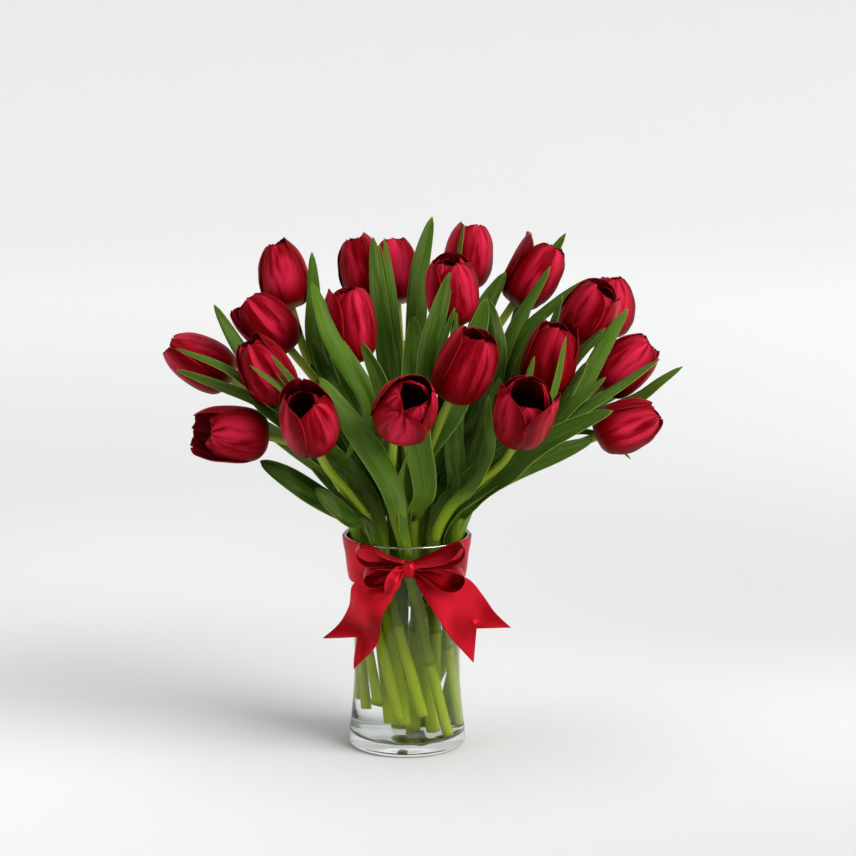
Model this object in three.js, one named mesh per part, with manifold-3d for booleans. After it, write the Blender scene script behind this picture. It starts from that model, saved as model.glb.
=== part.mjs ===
// A bouquet of twenty cut tulips, standing in water in a clear glass vase with a satin bow.
// Millimetres, +Z up. The origin is the middle of the vase's underside, and the bow is at the front, -Y.
import * as THREE from 'three';
import { mergeVertices } from 'three/addons/utils/BufferGeometryUtils.js';
import Module from 'manifold-3d';

const wasm = await Module();
wasm.setup();

// Clear space left between two pieces that touch, and the distance at which two corners are one
const GAP = 0.3;
const MERGE_DISTANCE = 1e-4;

// Vase: its outer radius at each height, from the heel to the mouth. Inside, the wall curves into the floor.
const VASE_HEIGHT = 185;
const VASE_WALL = 3;
const VASE_FLOOR = 9;
const VASE_SIDES = 36;
const CORNER_HEIGHT = 6;
const CORNER_WIDTH = 4;
const VASE_SIDE = [
  [47, 0], [50.4, 5], [48.4, 25], [46.1, 49], [45.4, 79], [46.8, 123], [48.9, 145], [51.6, 164], [54.4, 185],
];
const RIM_ROUNDING = 1;
const WATER_LEVEL = 132;

// Stems: they stand in three rings and turn about the vase's axis as they rise
const STEM_RADIUS = 4;
const STEM_SIDES = 8;
const STEM_STEP = 30;
const STEM_STIFFNESS = 0.36;
const SPIRAL_TURN = 65;
const RINGS = {
  outer: { mouth: 44, foot: 36 },
  middle: { mouth: 24, foot: 18 },
  inner: { mouth: 8, foot: 8 },
};

// Tulips: the bloom's foot, its lean to the right and nod to the front in degrees, its length and width, how
// far it has opened (0 shut, 1 wide), its stem's ring and angle at the mouth, and the height of its cut end
const TULIPS = [
  { foot: [-98, 35, 373], lean: -13, nod: -5, length: 58, width: 42, open: 0.1,
    ring: 'outer', angle: 150, cut: 34 },
  { foot: [-98, 8, 342], lean: -40, nod: 2, length: 56, width: 42, open: 0.2,
    ring: 'middle', angle: 168, cut: 22 },
  { foot: [-148, 10, 316], lean: -61, nod: -5, length: 60, width: 43, open: 0.1,
    ring: 'outer', angle: 176, cut: 42 },
  { foot: [-101, -52, 310], lean: -29, nod: 8, length: 59, width: 42, open: 0.15,
    ring: 'middle', angle: 206, cut: 22 },
  { foot: [-115, -45, 278], lean: -83, nod: 11, length: 62, width: 46, open: 0.6,
    ring: 'outer', angle: 203, cut: 30 },
  { foot: [-75, -75, 276], lean: -12, nod: 37, length: 60, width: 46, open: 0.6,
    ring: 'outer', angle: 235, cut: 33 },
  { foot: [-7, -85, 295], lean: 20, nod: 51, length: 58, width: 50, open: 0.9,
    ring: 'outer', angle: 266, cut: 10 },
  { foot: [36, -55, 311], lean: 22, nod: 11, length: 62, width: 47, open: 0.5,
    ring: 'middle', angle: 282, cut: 12 },
  { foot: [-45, -10, 335], lean: -5, nod: 7, length: 63, width: 44, open: 0.3,
    ring: 'inner', angle: 190, cut: 20 },
  { foot: [-30, 40, 380], lean: -15, nod: -5, length: 55, width: 40, open: 0.1,
    ring: 'outer', angle: 125, cut: 38 },
  { foot: [-8, 85, 369], lean: -3, nod: -8, length: 57, width: 41, open: 0.1,
    ring: 'outer', angle: 96, cut: 44 },
  { foot: [49, 60, 386], lean: 7, nod: -5, length: 55, width: 41, open: 0.1,
    ring: 'outer', angle: 55, cut: 26 },
  { foot: [40, 0, 366], lean: -6, nod: 15, length: 58, width: 43, open: 0.4,
    ring: 'inner', angle: 0, cut: 10 },
  { foot: [91, 40, 376], lean: 35, nod: -5, length: 60, width: 42, open: 0.3,
    ring: 'middle', angle: 40, cut: 10 },
  { foot: [140, 5, 350], lean: 29, nod: 16, length: 55, width: 43, open: 0.4,
    ring: 'middle', angle: 2, cut: 12 },
  { foot: [174, 70, 342], lean: 5, nod: -5, length: 52, width: 40, open: 0.1,
    ring: 'outer', angle: 20, cut: 10 },
  { foot: [112, -30, 312], lean: 14, nod: 5, length: 60, width: 44, open: 0.3,
    ring: 'middle', angle: 328, cut: 12 },
  { foot: [91, -80, 283], lean: 8, nod: 35, length: 60, width: 48, open: 0.8,
    ring: 'outer', angle: 305, cut: 14 },
  { foot: [163, -5, 311], lean: 47, nod: 0, length: 57, width: 43, open: 0.2,
    ring: 'outer', angle: 355, cut: 14 },
  { foot: [157, -45, 277], lean: 68, nod: 0, length: 55, width: 42, open: 0.2,
    ring: 'outer', angle: 335, cut: 10 },
];

// Bloom: shares of its half width at shares of its length, for the outside, the mouth when shut and when
// wide, and the hollow's waist and floor. Its upper half widens as it opens, and its rim has three lobes.
const BLOOM_SIDES = 12;
const BLOOM_LOBES = 3;
const BLOOM_LOBE = 0.035;
const BLOOM_OUTLINE = [[0.03, 0.36], [0.13, 0.74], [0.33, 1], [0.58, 0.97], [0.82, 0.8]];
const BLOOM_MOUTH_SHUT = 0.34;
const BLOOM_MOUTH_WIDE = 0.9;
const BLOOM_WIDENING = 0.6;
const BLOOM_WALL = 2.6;
const BLOOM_RIM = 0.965;
const BLOOM_LIP = 0.95;
const BLOOM_WAIST = [0.72, 0.54];
const BLOOM_DEPTH = 0.45;

// Leaves: the stem that each grows from, the height where it leaves it, its width, the way that its upper
// face looks, and the way that its midrib takes to its tip. It turns to its face in its lower third.
const LEAF_THICKNESS = 1;
const LEAF_SPARE = 0.35;
const LEAF_ROOT = 8;
const LEAF_TIP = 2.5;
const LEAF_SHEATH = 0.3;
const LEAF_TURNED = 0.35;
const LEAF_WIDEST = [0.4, 0.5];
const LEAF_STEPS = 9;
const LEAVES = [
  { stem: 7, from: 190, width: 24, face: [0.6, -0.8, 0.1],
    way: [[-9, -72, 236], [-32, -88, 280], [-72, -70, 331]] },
  { stem: 4, from: 235, width: 20, face: [0.5, -0.8, 0.2],
    way: [[-27, -42, 296], [-51, -35, 349], [-75, -20, 404]] },
  { stem: 8, from: 195, width: 24, face: [0.1, -1, 0.1],
    way: [[15, -54, 234], [8, -58, 279], [6, -5, 372]] },
  { stem: 20, from: 195, width: 22, face: [-0.3, -0.6, 0.7],
    way: [[82, -62, 244], [106, -72, 272], [168, -86, 307]] },
  { stem: 18, from: 225, width: 18, face: [-0.8, -0.5, 0.2],
    way: [[64, -74, 258], [71, -80, 272], [80, -95, 321]] },
  { stem: 5, from: 192, width: 22, face: [0.4, -0.8, 0.5],
    way: [[-56, -42, 216], [-89, -50, 240], [-124, -45, 261]] },
  { stem: 6, from: 192, width: 16, face: [0.4, -0.9, 0.4],
    way: [[-49, -62, 214], [-75, -68, 239]] },
  { stem: 17, from: 258, width: 15, face: [0.3, -0.8, 0.5],
    way: [[114, -36, 291], [143, -30, 322], [184, -20, 381]] },
  { stem: 20, from: 210, width: 16, face: [-0.5, -0.4, 0.8],
    way: [[76, -33, 253], [122, -50, 288], [210, -38, 341]] },
  { stem: 19, from: 225, width: 16, face: [-0.3, -0.5, 0.8],
    way: [[112, -20, 266], [165, -22, 293], [231, -15, 332]] },
  { stem: 5, from: 205, width: 15, face: [0.3, -0.5, 0.8],
    way: [[-65, -14, 247], [-117, -30, 298], [-192, -25, 330]] },
  { stem: 3, from: 225, width: 18, face: [0.6, -0.7, 0.3],
    way: [[-67, -7, 270], [-121, -22, 325], [-161, -10, 383]] },
  { stem: 11, from: 260, width: 18, face: [0.1, -1, 0.1],
    way: [[7, 40, 340], [12, 45, 408], [22, 55, 449]] },
  { stem: 1, from: 240, width: 15, face: [0.4, -0.9, 0.1],
    way: [[-52, 28, 281], [-78, 30, 340], [-82, 25, 423]] },
  { stem: 9, from: 230, width: 17, face: [0.3, -0.9, 0.1],
    way: [[-10, 0, 283], [-19, 5, 351], [-28, 20, 436]] },
  { stem: 13, from: 235, width: 22, face: [-0.2, -1, 0.1],
    way: [[53, -10, 275], [73, -10, 336], [70, 0, 384]] },
  { stem: 14, from: 240, width: 15, face: [-0.5, -0.6, 0.6],
    way: [[75, 5, 299], [98, 4, 352], [159, 10, 398]] },
];

// Ribbon: a strip gathered into a band, a knot, four loops and two tails with notched ends. A loop runs
// out from the knot beside the glass and comes back in front. A tail's outline is seen from the front.
const RIBBON_THICKNESS = 1.2;
const BAND_MIDDLE = 166;
const BAND_HALF = 19.5;
const BAND_HALF_AT_KNOT = 7;
const BAND_GATHER = [8, 50];
const BAND_ENDS = [3, 357];
const BAND_STEPS = 36;
const KNOT = { centre: [1, -57, 164], half: [6.5, 4.7, 8], sides: [10, 6] };
const LOOP_STEPS = 14;
const LOOP_AT_KNOT = 8;
const LOOP_WAY = [
  [0, -0.1, 0], [0.5, -0.05, 0.6], [0.93, 0.2, 1], [0.93, 0.7, 1], [0.5, 1, 0.6], [0, 0.1, 0],
];
const LOOPS = [
  { reach: 44, rise: 13, spread: 13, width: 19 },
  { reach: -43, rise: 13, spread: 11, width: 18 },
  { reach: 44, rise: -9, spread: 13, width: 18 },
  { reach: -36, rise: -10, spread: 10, width: 16 },
];
const TAILS = [
  {
    outline: [[0, 164], [-46, 152], [-49, 131], [-58, 114], [-72, 102], [-45, 101], [-45, 78], [-22, 100],
      [-19, 126], [-6, 146]],
    swing: -11,
  },
  {
    outline: [[2, 164], [10, 147], [25, 126], [44, 98], [56, 84], [62, 110], [88, 111], [72, 129], [63, 144],
      [50, 157]],
    swing: 17,
  },
];

// Materials
const GLASS = { color: 0xe8f0ec, roughness: 0.03, metalness: 0, transparent: true, opacity: 0.35 };
const WATER = { color: 0xdfe9e2, roughness: 0.02, metalness: 0, transparent: true, opacity: 0.4 };
const SATIN = { color: 0xb10d18, roughness: 0.3, metalness: 0 };
const STEM = { color: 0x86a03c, roughness: 0.5, metalness: 0 };
const PETAL = { color: 0xa60f1f, roughness: 0.42, metalness: 0 };
const LEAF = { color: 0x3d6b24, roughness: 0.5, metalness: 0 };

// Finding room: stems and leaves are strands of points that push each other apart in rounds
const STRAND_STEP = 5;
const SETTLE_ROUNDS = 90;
const SETTLE_SPARE = 1.4;
const SETTLE_GAIN = 0.6;
const HELD_POINTS = 3;
const LEAF_PROBES = [-1, -0.5, 0, 0.5, 1];
const LEAF_REACH = 1.6;
const BLOOM_PROBES = [[0.3, 1], [0.55, 1], [0.8, 0.85]];

const point = (xyz) => new THREE.Vector3(...xyz);
const radians = THREE.MathUtils.degToRad;
const round = (radius, angle, z) =>
  new THREE.Vector3(radius * Math.cos(radians(angle)), radius * Math.sin(radians(angle)), z);

// The closed solid that a geometry bounds
function solidOf(geometry) {
  const shell = geometry.index ? geometry.toNonIndexed() : geometry.clone();
  shell.deleteAttribute('normal');
  shell.deleteAttribute('uv');
  const merged = mergeVertices(shell, MERGE_DISTANCE);
  return new wasm.Manifold(new wasm.Mesh({
    numProp: 3,
    vertProperties: merged.attributes.position.array,
    triVerts: new Uint32Array(merged.index.array),
  }));
}

// The geometry of a closed solid
function geometryOf(solid) {
  const mesh = solid.getMesh();
  const geometry = new THREE.BufferGeometry();
  geometry.setAttribute('position', new THREE.BufferAttribute(mesh.vertProperties.slice(), 3));
  geometry.setIndex(new THREE.BufferAttribute(mesh.triVerts.slice(), 1));
  return geometry;
}

// The largest body of a solid that a cut may have left in pieces
function largest(solid) {
  return solid.decompose().reduce((best, body) => (body.volume() > best.volume() ? body : best));
}

// A closed skin through rings of corners, each ring running anticlockwise seen from the far end. A ring
// of a single corner is a pole. In a thin skin, of four corners a ring, the quads of both faces are split
// along the same diagonal, so that they stay side by side where it twists.
function skin(rings, thin = false) {
  const corners = rings.flat();
  const end = corners.length - rings.at(-1).length;
  const index = [];
  for (let side = 1; side + 1 < rings[0].length; side += 1) index.push(0, side + 1, side);
  for (let side = 1; end + side + 1 < corners.length; side += 1) index.push(end, end + side, end + side + 1);
  let start = 0;
  for (let ring = 0; ring + 1 < rings.length; ring += 1) {
    const here = rings[ring].length;
    const next = rings[ring + 1].length;
    const sides = Math.max(here, next);
    for (let side = 0; side < sides; side += 1) {
      const a = start + (here > 1 ? side : 0);
      const b = start + (here > 1 ? (side + 1) % here : 0);
      const c = start + here + (next > 1 ? (side + 1) % next : 0);
      const d = start + here + (next > 1 ? side : 0);
      if (thin && side === 1) {
        index.push(a, b, d, b, c, d);
        continue;
      }
      if (here > 1) index.push(a, b, c);
      if (next > 1) index.push(a, c, d);
    }
    start += here;
  }
  const geometry = new THREE.BufferGeometry();
  geometry.setAttribute('position', new THREE.Float32BufferAttribute(corners.flatMap((p) => p.toArray()), 3));
  geometry.setIndex(index);
  return geometry;
}

// A profile of [radius, height] pairs from the axis round to the axis, turned about +Z
function turned(profile) {
  const geometry = new THREE.LatheGeometry(profile.map(([r, z]) => new THREE.Vector2(r, z)), VASE_SIDES);
  geometry.rotateX(Math.PI / 2);
  return geometry;
}

// The glass's outer radius at a height
function glassRadius(z) {
  const above = VASE_SIDE.findIndex(([, height]) => height >= z);
  const [r0, z0] = VASE_SIDE[Math.max(above - 1, 0)];
  const [r1, z1] = VASE_SIDE[above];
  return z1 > z0 ? THREE.MathUtils.lerp(r0, r1, (z - z0) / (z1 - z0)) : r1;
}

// The glass's inside from its floor up to a height, kept a little clear of it, as [radius, height] pairs
function inside(top, clear) {
  const radius = (z) => glassRadius(z) - VASE_WALL - clear;
  const corner = VASE_FLOOR + CORNER_HEIGHT;
  const heights = VASE_SIDE.map(([, z]) => z).filter((z) => z > corner && z < top);
  return [
    [radius(VASE_FLOOR) - CORNER_WIDTH, VASE_FLOOR + clear],
    ...[corner, ...heights, top].map((z) => [radius(z), z]),
  ];
}

function vase() {
  const shoulder = VASE_HEIGHT - RIM_ROUNDING;
  return turned([
    [0, 0],
    ...VASE_SIDE.slice(0, -1),
    [glassRadius(shoulder), shoulder],
    [glassRadius(VASE_HEIGHT) - VASE_WALL / 2, VASE_HEIGHT],
    ...inside(shoulder, 0).reverse(),
    [0, VASE_FLOOR],
  ]);
}

// A stem's straight part in the vase, from its cut end to the mouth
function ruling(tulip) {
  const { mouth, foot } = RINGS[tulip.ring];
  const top = round(mouth, tulip.angle, VASE_HEIGHT);
  const floor = round(foot, tulip.angle + SPIRAL_TURN, VASE_FLOOR);
  return { top, cut: floor.lerp(top, (tulip.cut - VASE_FLOOR) / (VASE_HEIGHT - VASE_FLOOR)) };
}

// The direction that a bloom faces
function facing(tulip) {
  const lean = radians(tulip.lean);
  const nod = radians(tulip.nod);
  return new THREE.Vector3(Math.sin(lean) * Math.cos(nod), -Math.sin(nod), Math.cos(lean) * Math.cos(nod));
}

// A stem's free part: a curve from the mouth to the bloom, leaving each end in that end's direction
function freeStem(tulip) {
  const { top, cut } = ruling(tulip);
  const end = point(tulip.foot);
  const handle = STEM_STIFFNESS * top.distanceTo(end);
  const rise = top.clone().sub(cut).normalize();
  const curve = new THREE.CubicBezierCurve3(
    top,
    top.clone().addScaledVector(rise, handle),
    end.clone().addScaledVector(facing(tulip), -handle),
    end,
  );
  return curve.getSpacedPoints(Math.round(curve.getLength() / STRAND_STEP));
}

// Moves each probe's strand away from a point that the probe is too near to
function pushAway(pushes, probe, from, depth) {
  const push = probe.at.clone().sub(from).setLength(depth);
  const most = pushes[probe.which][probe.i];
  if (push.length() > most.length()) most.copy(push);
}

// How deep each probe sits in probes of other strands and in fixed spheres, as a push for each point
function pushesOf(strands, probes, fixed) {
  const pushes = strands.map(({ points }) => points.map(() => new THREE.Vector3()));
  probes.forEach((probe, first) => {
    for (let second = first + 1; second < probes.length; second += 1) {
      const mate = probes[second];
      if (mate.which === probe.which) continue;
      const depth = probe.reach + mate.reach + SETTLE_SPARE - probe.at.distanceTo(mate.at);
      if (depth <= 0) continue;
      pushAway(pushes, probe, mate.at, depth / 2);
      pushAway(pushes, mate, probe.at, depth / 2);
    }
    for (const block of fixed) {
      if (block.owner === probe.owner) continue;
      const depth = probe.reach + block.reach + SETTLE_SPARE - probe.at.distanceTo(block.at);
      if (depth > 0) pushAway(pushes, probe, block.at, depth);
    }
  });
  return pushes;
}

// Evens out what a strand has moved, and holds its start, and its end too unless that is loose
function evenOut(moves, loose) {
  const before = moves.map((move) => move.clone());
  const last = moves.length - 1;
  moves.forEach((move, i) => {
    const left = before[Math.max(i - 1, 0)];
    const right = before[Math.min(i + 1, last)];
    const fromEnd = Math.min(i, loose ? i : last - i);
    move.multiplyScalar(0.5).addScaledVector(left, 0.25).addScaledVector(right, 0.25);
    move.multiplyScalar(THREE.MathUtils.smoothstep(fromEnd, 0, HELD_POINTS));
  });
}

// Strands are lists of points that carry probes, which are spheres about each point. Where probes of two
// strands meet, both give way, and where one meets a fixed sphere, it gives way alone.
function settle(strands, fixed) {
  const moved = strands.map(({ points }) => points.map(() => new THREE.Vector3()));
  const probesOf = ({ points, probes, reach, owner }, which) => points.flatMap((p, i) => (
    probes[i].map((offset) => ({ which, i, reach, owner, at: p.clone().add(offset).add(moved[which][i]) }))
  ));
  for (let turn = 0; turn < SETTLE_ROUNDS; turn += 1) {
    const pushes = pushesOf(strands, strands.flatMap(probesOf), fixed);
    moved.forEach((moves, which) => {
      moves.forEach((move, i) => move.addScaledVector(pushes[which][i], SETTLE_GAIN));
      evenOut(moves, strands[which].loose);
    });
  }
  return strands.map(({ points }, which) => points.map((p, i) => p.clone().add(moved[which][i])));
}

// A stem's whole path, from its cut end through the mouth to the bloom
function stemPath({ cut, top }, points) {
  return new THREE.CatmullRomCurve3([cut, cut.clone().lerp(top, 0.5), ...points]);
}

const stemSteps = (path) => Math.round(path.getLength() / STEM_STEP);

// The middle line of a stem's bar, whose steps are straight
function stemLine(path) {
  const ends = path.getSpacedPoints(stemSteps(path));
  const line = new THREE.CurvePath();
  ends.slice(1).forEach((end, i) => line.add(new THREE.LineCurve3(ends[i], end)));
  return line.getSpacedPoints(Math.round(line.getLength() / STRAND_STEP));
}

// A bloom as three spheres along its axis, for what must keep clear of it
function bloomBlocks(tulip, owner) {
  const axis = facing(tulip);
  return BLOOM_PROBES.map(([share, radius]) => ({
    owner,
    reach: radius * tulip.width / 2,
    at: point(tulip.foot).addScaledVector(axis, share * tulip.length),
  }));
}

// A round bar along a path
function bar(path, radius, steps) {
  const section = new THREE.Shape(Array.from({ length: STEM_SIDES }, (_, side) => {
    const turn = (side + 0.5) / STEM_SIDES * 2 * Math.PI;
    return new THREE.Vector2(radius * Math.cos(turn), radius * Math.sin(turn));
  }));
  return new THREE.ExtrudeGeometry(section, { steps, extrudePath: path, bevelEnabled: false });
}

// The water: it fills the glass up to its level, with room for the stems that stand in it
function water(stems) {
  const body = turned([[0, VASE_FLOOR + GAP], ...inside(WATER_LEVEL, GAP), [0, WATER_LEVEL]]);
  const room = (STEM_RADIUS + GAP) / Math.cos(Math.PI / STEM_SIDES);
  const carved = stems.reduce((left, { cut, top }) => {
    const start = cut.clone().lerp(top, -GAP / cut.distanceTo(top));
    return left.subtract(solidOf(bar(new THREE.LineCurve3(start, top), room, 1)));
  }, solidOf(body));
  return geometryOf(largest(carved));
}

// The ribbon's band: it lies on the glass all the way round, and narrows towards the knot
function band() {
  const flat = 1 / Math.cos(Math.PI / BAND_STEPS);
  const on = (z) => (glassRadius(Math.min(z, VASE_HEIGHT)) + GAP) * flat + RIBBON_THICKNESS / 2;
  const stations = Array.from({ length: BAND_STEPS + 1 }, (_, step) => {
    const turn = THREE.MathUtils.lerp(...BAND_ENDS, step / BAND_STEPS);
    const gather = THREE.MathUtils.smoothstep(Math.min(turn, 360 - turn), ...BAND_GATHER);
    const half = THREE.MathUtils.lerp(BAND_HALF_AT_KNOT, BAND_HALF, gather);
    const low = round(on(BAND_MIDDLE - half), turn - 90, BAND_MIDDLE - half);
    const high = round(on(BAND_MIDDLE + half), turn - 90, BAND_MIDDLE + half);
    const across = high.clone().sub(low);
    const around = round(1, turn, 0);
    return {
      at: low.clone().lerp(high, 0.5),
      across: across.clone().normalize(),
      face: across.clone().cross(around).normalize(),
      width: across.length(),
    };
  });
  return strip(stations, RIBBON_THICKNESS);
}

// A loop of the bow: an upright strip that goes out from the knot and comes back in front of itself. Its
// way is in shares of its reach, its spread to the front and its rise.
function loop({ reach, rise, spread, width }) {
  const path = new THREE.CatmullRomCurve3(LOOP_WAY.map(([out, front, climb]) => (
    point(KNOT.centre).add(new THREE.Vector3(reach * out, -spread * front, rise * climb))
  )));
  const upright = new THREE.Vector3(0, 0, 1);
  const stations = Array.from({ length: LOOP_STEPS + 1 }, (_, step) => {
    const t = step / LOOP_STEPS;
    const spreadOut = THREE.MathUtils.smoothstep(Math.min(t, 1 - t), 0, 0.4);
    return {
      at: path.getPointAt(t),
      across: upright,
      face: upright.clone().cross(path.getTangentAt(t)).normalize(),
      width: THREE.MathUtils.lerp(LOOP_AT_KNOT, width, spreadOut),
    };
  });
  return strip(stations, RIBBON_THICKNESS);
}

// A tail: a flat cut piece with a notched end that hangs from the knot, swung back round the glass
function tail({ outline, swing }) {
  const shape = new THREE.Shape(outline.map(([x, z]) => new THREE.Vector2(x, z - KNOT.centre[2])));
  const geometry = new THREE.ExtrudeGeometry(shape, { depth: RIBBON_THICKNESS, bevelEnabled: false });
  geometry.rotateX(Math.PI / 2);
  geometry.rotateZ(radians(swing));
  geometry.translate(0, KNOT.centre[1] + 1, KNOT.centre[2]);
  return geometry;
}

// The whole ribbon in one piece
function ribbon() {
  const knot = new THREE.SphereGeometry(1, ...KNOT.sides);
  knot.scale(...KNOT.half);
  knot.translate(...KNOT.centre);
  const pieces = [band(), knot, ...LOOPS.map(loop), ...TAILS.map(tail)];
  return geometryOf(largest(pieces.map(solidOf).reduce((whole, piece) => whole.add(piece))));
}

// A bloom: a cup that swells from its foot and closes towards its mouth, with three lobes and a hollow
function bloom(tulip) {
  const axis = facing(tulip);
  const across = new THREE.Vector3(0, 1, 0).cross(axis).normalize();
  const along = axis.clone().cross(across);
  const foot = point(tulip.foot).addScaledVector(axis, GAP);
  const half = tulip.width / 2;
  const mouth = THREE.MathUtils.lerp(BLOOM_MOUTH_SHUT, BLOOM_MOUTH_WIDE, tulip.open) * half;
  const ring = (radius, share, lobe) => Array.from({ length: BLOOM_SIDES }, (_, side) => {
    const turn = side / BLOOM_SIDES * 2 * Math.PI;
    const height = tulip.length * share * (1 + lobe * Math.cos(BLOOM_LOBES * turn));
    return foot.clone()
      .addScaledVector(axis, height)
      .addScaledVector(across, radius * Math.cos(turn))
      .addScaledVector(along, radius * Math.sin(turn));
  });
  const swell = (share, radius) => {
    const widening = share > 0.5 ? tulip.open * BLOOM_WIDENING : 0;
    return half * THREE.MathUtils.lerp(radius, 1, widening);
  };
  return skin([
    [foot],
    ...BLOOM_OUTLINE.map(([share, radius]) => ring(swell(share, radius), share, 0)),
    ring(mouth, BLOOM_RIM, BLOOM_LOBE),
    ring(mouth - BLOOM_WALL, BLOOM_LIP, BLOOM_LOBE),
    ring(swell(...BLOOM_WAIST), BLOOM_WAIST[0], 0),
    [foot.clone().addScaledVector(axis, tulip.length * BLOOM_DEPTH)],
  ]);
}

// A flat strip through stations, each with its middle, the direction of its width, and its width
function strip(stations, thickness, thin = false) {
  return skin(stations.map(({ at, across, face, width }) => {
    const side = across.clone().multiplyScalar(width / 2);
    const rise = face.clone().multiplyScalar(thickness / 2);
    return [
      at.clone().sub(side).sub(rise),
      at.clone().sub(side).add(rise),
      at.clone().add(side).add(rise),
      at.clone().add(side).sub(rise),
    ];
  }), thin);
}

// The first point of a rising line at or above a height, and the line's direction there
function pathAt(points, z) {
  const i = Math.max(points.findIndex((p) => p.z >= z), 1);
  return { at: points[i], along: points[i].clone().sub(points[i - 1]).normalize() };
}

// A leaf's midrib and the way that it faces: up its stem on the side where it will leave it, then over its
// way to its tip, turning from the stem's side to its own face
function midrib(leaf, line) {
  const { at, along } = pathAt(line, leaf.from);
  const way = leaf.way.map(point);
  const beside = line.reduce((best, p) => (p.distanceTo(way[0]) < best.distanceTo(way[0]) ? p : best));
  const away = way[0].clone().sub(beside);
  const out = away.addScaledVector(along, -away.dot(along)).normalize();
  const root = at.clone().addScaledVector(out, STEM_RADIUS + GAP + LEAF_THICKNESS / 2 + LEAF_SPARE);
  const rise = root.clone().addScaledVector(along, LEAF_SHEATH * root.distanceTo(way[0]));
  const curve = new THREE.CatmullRomCurve3([root, rise, ...way]);
  const face = point(leaf.face).normalize();
  return {
    points: curve.getSpacedPoints(Math.round(curve.getLength() / STRAND_STEP)),
    rootFace: out.dot(face) > 0 ? out : out.negate(),
    face,
  };
}

// The direction of a leaf's width at a share of its length
function leafAcross({ rootFace, face }, share, along) {
  const here = rootFace.clone().lerp(face, THREE.MathUtils.smoothstep(share, 0, LEAF_TURNED));
  return along.clone().cross(here).normalize();
}

// A leaf's outline: narrow where it clasps its stem, widest at its middle, pointed at its tip
function leafWidth(share, width) {
  const [swollen, taperFrom] = LEAF_WIDEST;
  const swell = THREE.MathUtils.lerp(LEAF_ROOT, width, THREE.MathUtils.smoothstep(share, 0, swollen));
  const taper = 1 - (Math.max(share - taperFrom, 0) / (1 - taperFrom)) ** 2;
  return Math.max(swell * taper, LEAF_TIP);
}

// The stations of a leaf's strip, evenly spaced along its midrib
function leafStations(leaf, rib, points) {
  const path = new THREE.CatmullRomCurve3(points);
  return Array.from({ length: LEAF_STEPS + 1 }, (_, step) => {
    const share = step / LEAF_STEPS;
    const along = path.getTangentAt(share);
    const across = leafAcross(rib, share, along);
    return {
      at: path.getPointAt(share),
      across,
      face: across.clone().cross(along).normalize(),
      width: leafWidth(share, leaf.width),
    };
  });
}

// The strand of a leaf, with probes across its width
function leafStrand(leaf, rib) {
  const last = rib.points.length - 1;
  const probes = rib.points.map((p, i) => {
    const ahead = rib.points[Math.min(i + 1, last)];
    const along = ahead.clone().sub(rib.points[Math.max(i - 1, 0)]).normalize();
    const across = leafAcross(rib, i / last, along).multiplyScalar(leafWidth(i / last, leaf.width) / 2);
    return LEAF_PROBES.map((side) => across.clone().multiplyScalar(side));
  });
  return { points: rib.points, probes, reach: LEAF_REACH, loose: true };
}

const bouquet = new THREE.Group();

function add(name, geometry, material) {
  const mesh = new THREE.Mesh(geometry, new THREE.MeshStandardMaterial(material));
  mesh.name = name;
  bouquet.add(mesh);
}

const numbered = (name, i) => `${name}_${String(i + 1).padStart(2, '0')}`;

const straight = TULIPS.map(ruling);
add('vase', vase(), GLASS);
add('water', water(straight), WATER);
add('ribbon', ribbon(), SATIN);

const blocks = TULIPS.flatMap(bloomBlocks);
const free = settle(TULIPS.map((tulip, owner) => {
  const points = freeStem(tulip);
  return { points, owner, reach: STEM_RADIUS, probes: points.map(() => [new THREE.Vector3()]) };
}), blocks);

TULIPS.forEach((tulip, i) => {
  const path = stemPath(straight[i], free[i]);
  add(numbered('stem', i), bar(path, STEM_RADIUS, stemSteps(path)), STEM);
  add(numbered('bloom', i), bloom(tulip), PETAL);
});

const lines = free.map((points, i) => stemLine(stemPath(straight[i], points)));
const stemBlocks = lines.flatMap((line) => line.map((at) => ({ at, reach: STEM_RADIUS })));
const ribs = LEAVES.map((leaf) => midrib(leaf, lines[leaf.stem - 1]));
const bent = settle(LEAVES.map((leaf, i) => leafStrand(leaf, ribs[i])), [...stemBlocks, ...blocks]);
LEAVES.forEach((leaf, i) => {
  add(numbered('leaf', i), strip(leafStations(leaf, ribs[i], bent[i]), LEAF_THICKNESS, true), LEAF);
});

export default bouquet;
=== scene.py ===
"""The looks of a bouquet of red tulips in a glass vase with a satin bow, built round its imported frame.

Lengths are worked out in millimetres in the frame's axes, and become metres when a mesh is made. The bow
faces -Y, and +X is to its right.
"""

import bpy
import numpy as np
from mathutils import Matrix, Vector


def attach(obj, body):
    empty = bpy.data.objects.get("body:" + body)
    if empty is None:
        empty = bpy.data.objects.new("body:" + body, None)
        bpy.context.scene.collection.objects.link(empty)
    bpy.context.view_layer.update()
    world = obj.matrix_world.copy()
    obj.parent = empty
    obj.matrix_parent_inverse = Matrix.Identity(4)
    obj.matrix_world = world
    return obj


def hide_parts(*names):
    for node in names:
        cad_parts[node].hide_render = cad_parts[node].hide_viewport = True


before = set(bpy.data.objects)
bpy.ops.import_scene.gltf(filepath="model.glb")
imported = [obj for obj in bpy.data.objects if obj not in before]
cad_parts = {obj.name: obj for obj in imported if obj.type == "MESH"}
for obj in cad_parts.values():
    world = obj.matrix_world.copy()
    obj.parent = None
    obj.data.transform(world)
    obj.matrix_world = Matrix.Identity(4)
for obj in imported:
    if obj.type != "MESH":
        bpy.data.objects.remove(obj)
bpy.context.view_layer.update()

MM = 0.001
PI = np.pi

# Camera: its place and aim in metres, and its lens and film in millimetres
CAMERA_AT = (0.0, -2.300, 0.730)
CAMERA_AIM = (0.018, 0.0, 0.276)
CAMERA_LENS = 116.4
CAMERA_SENSOR = 36.0

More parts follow.
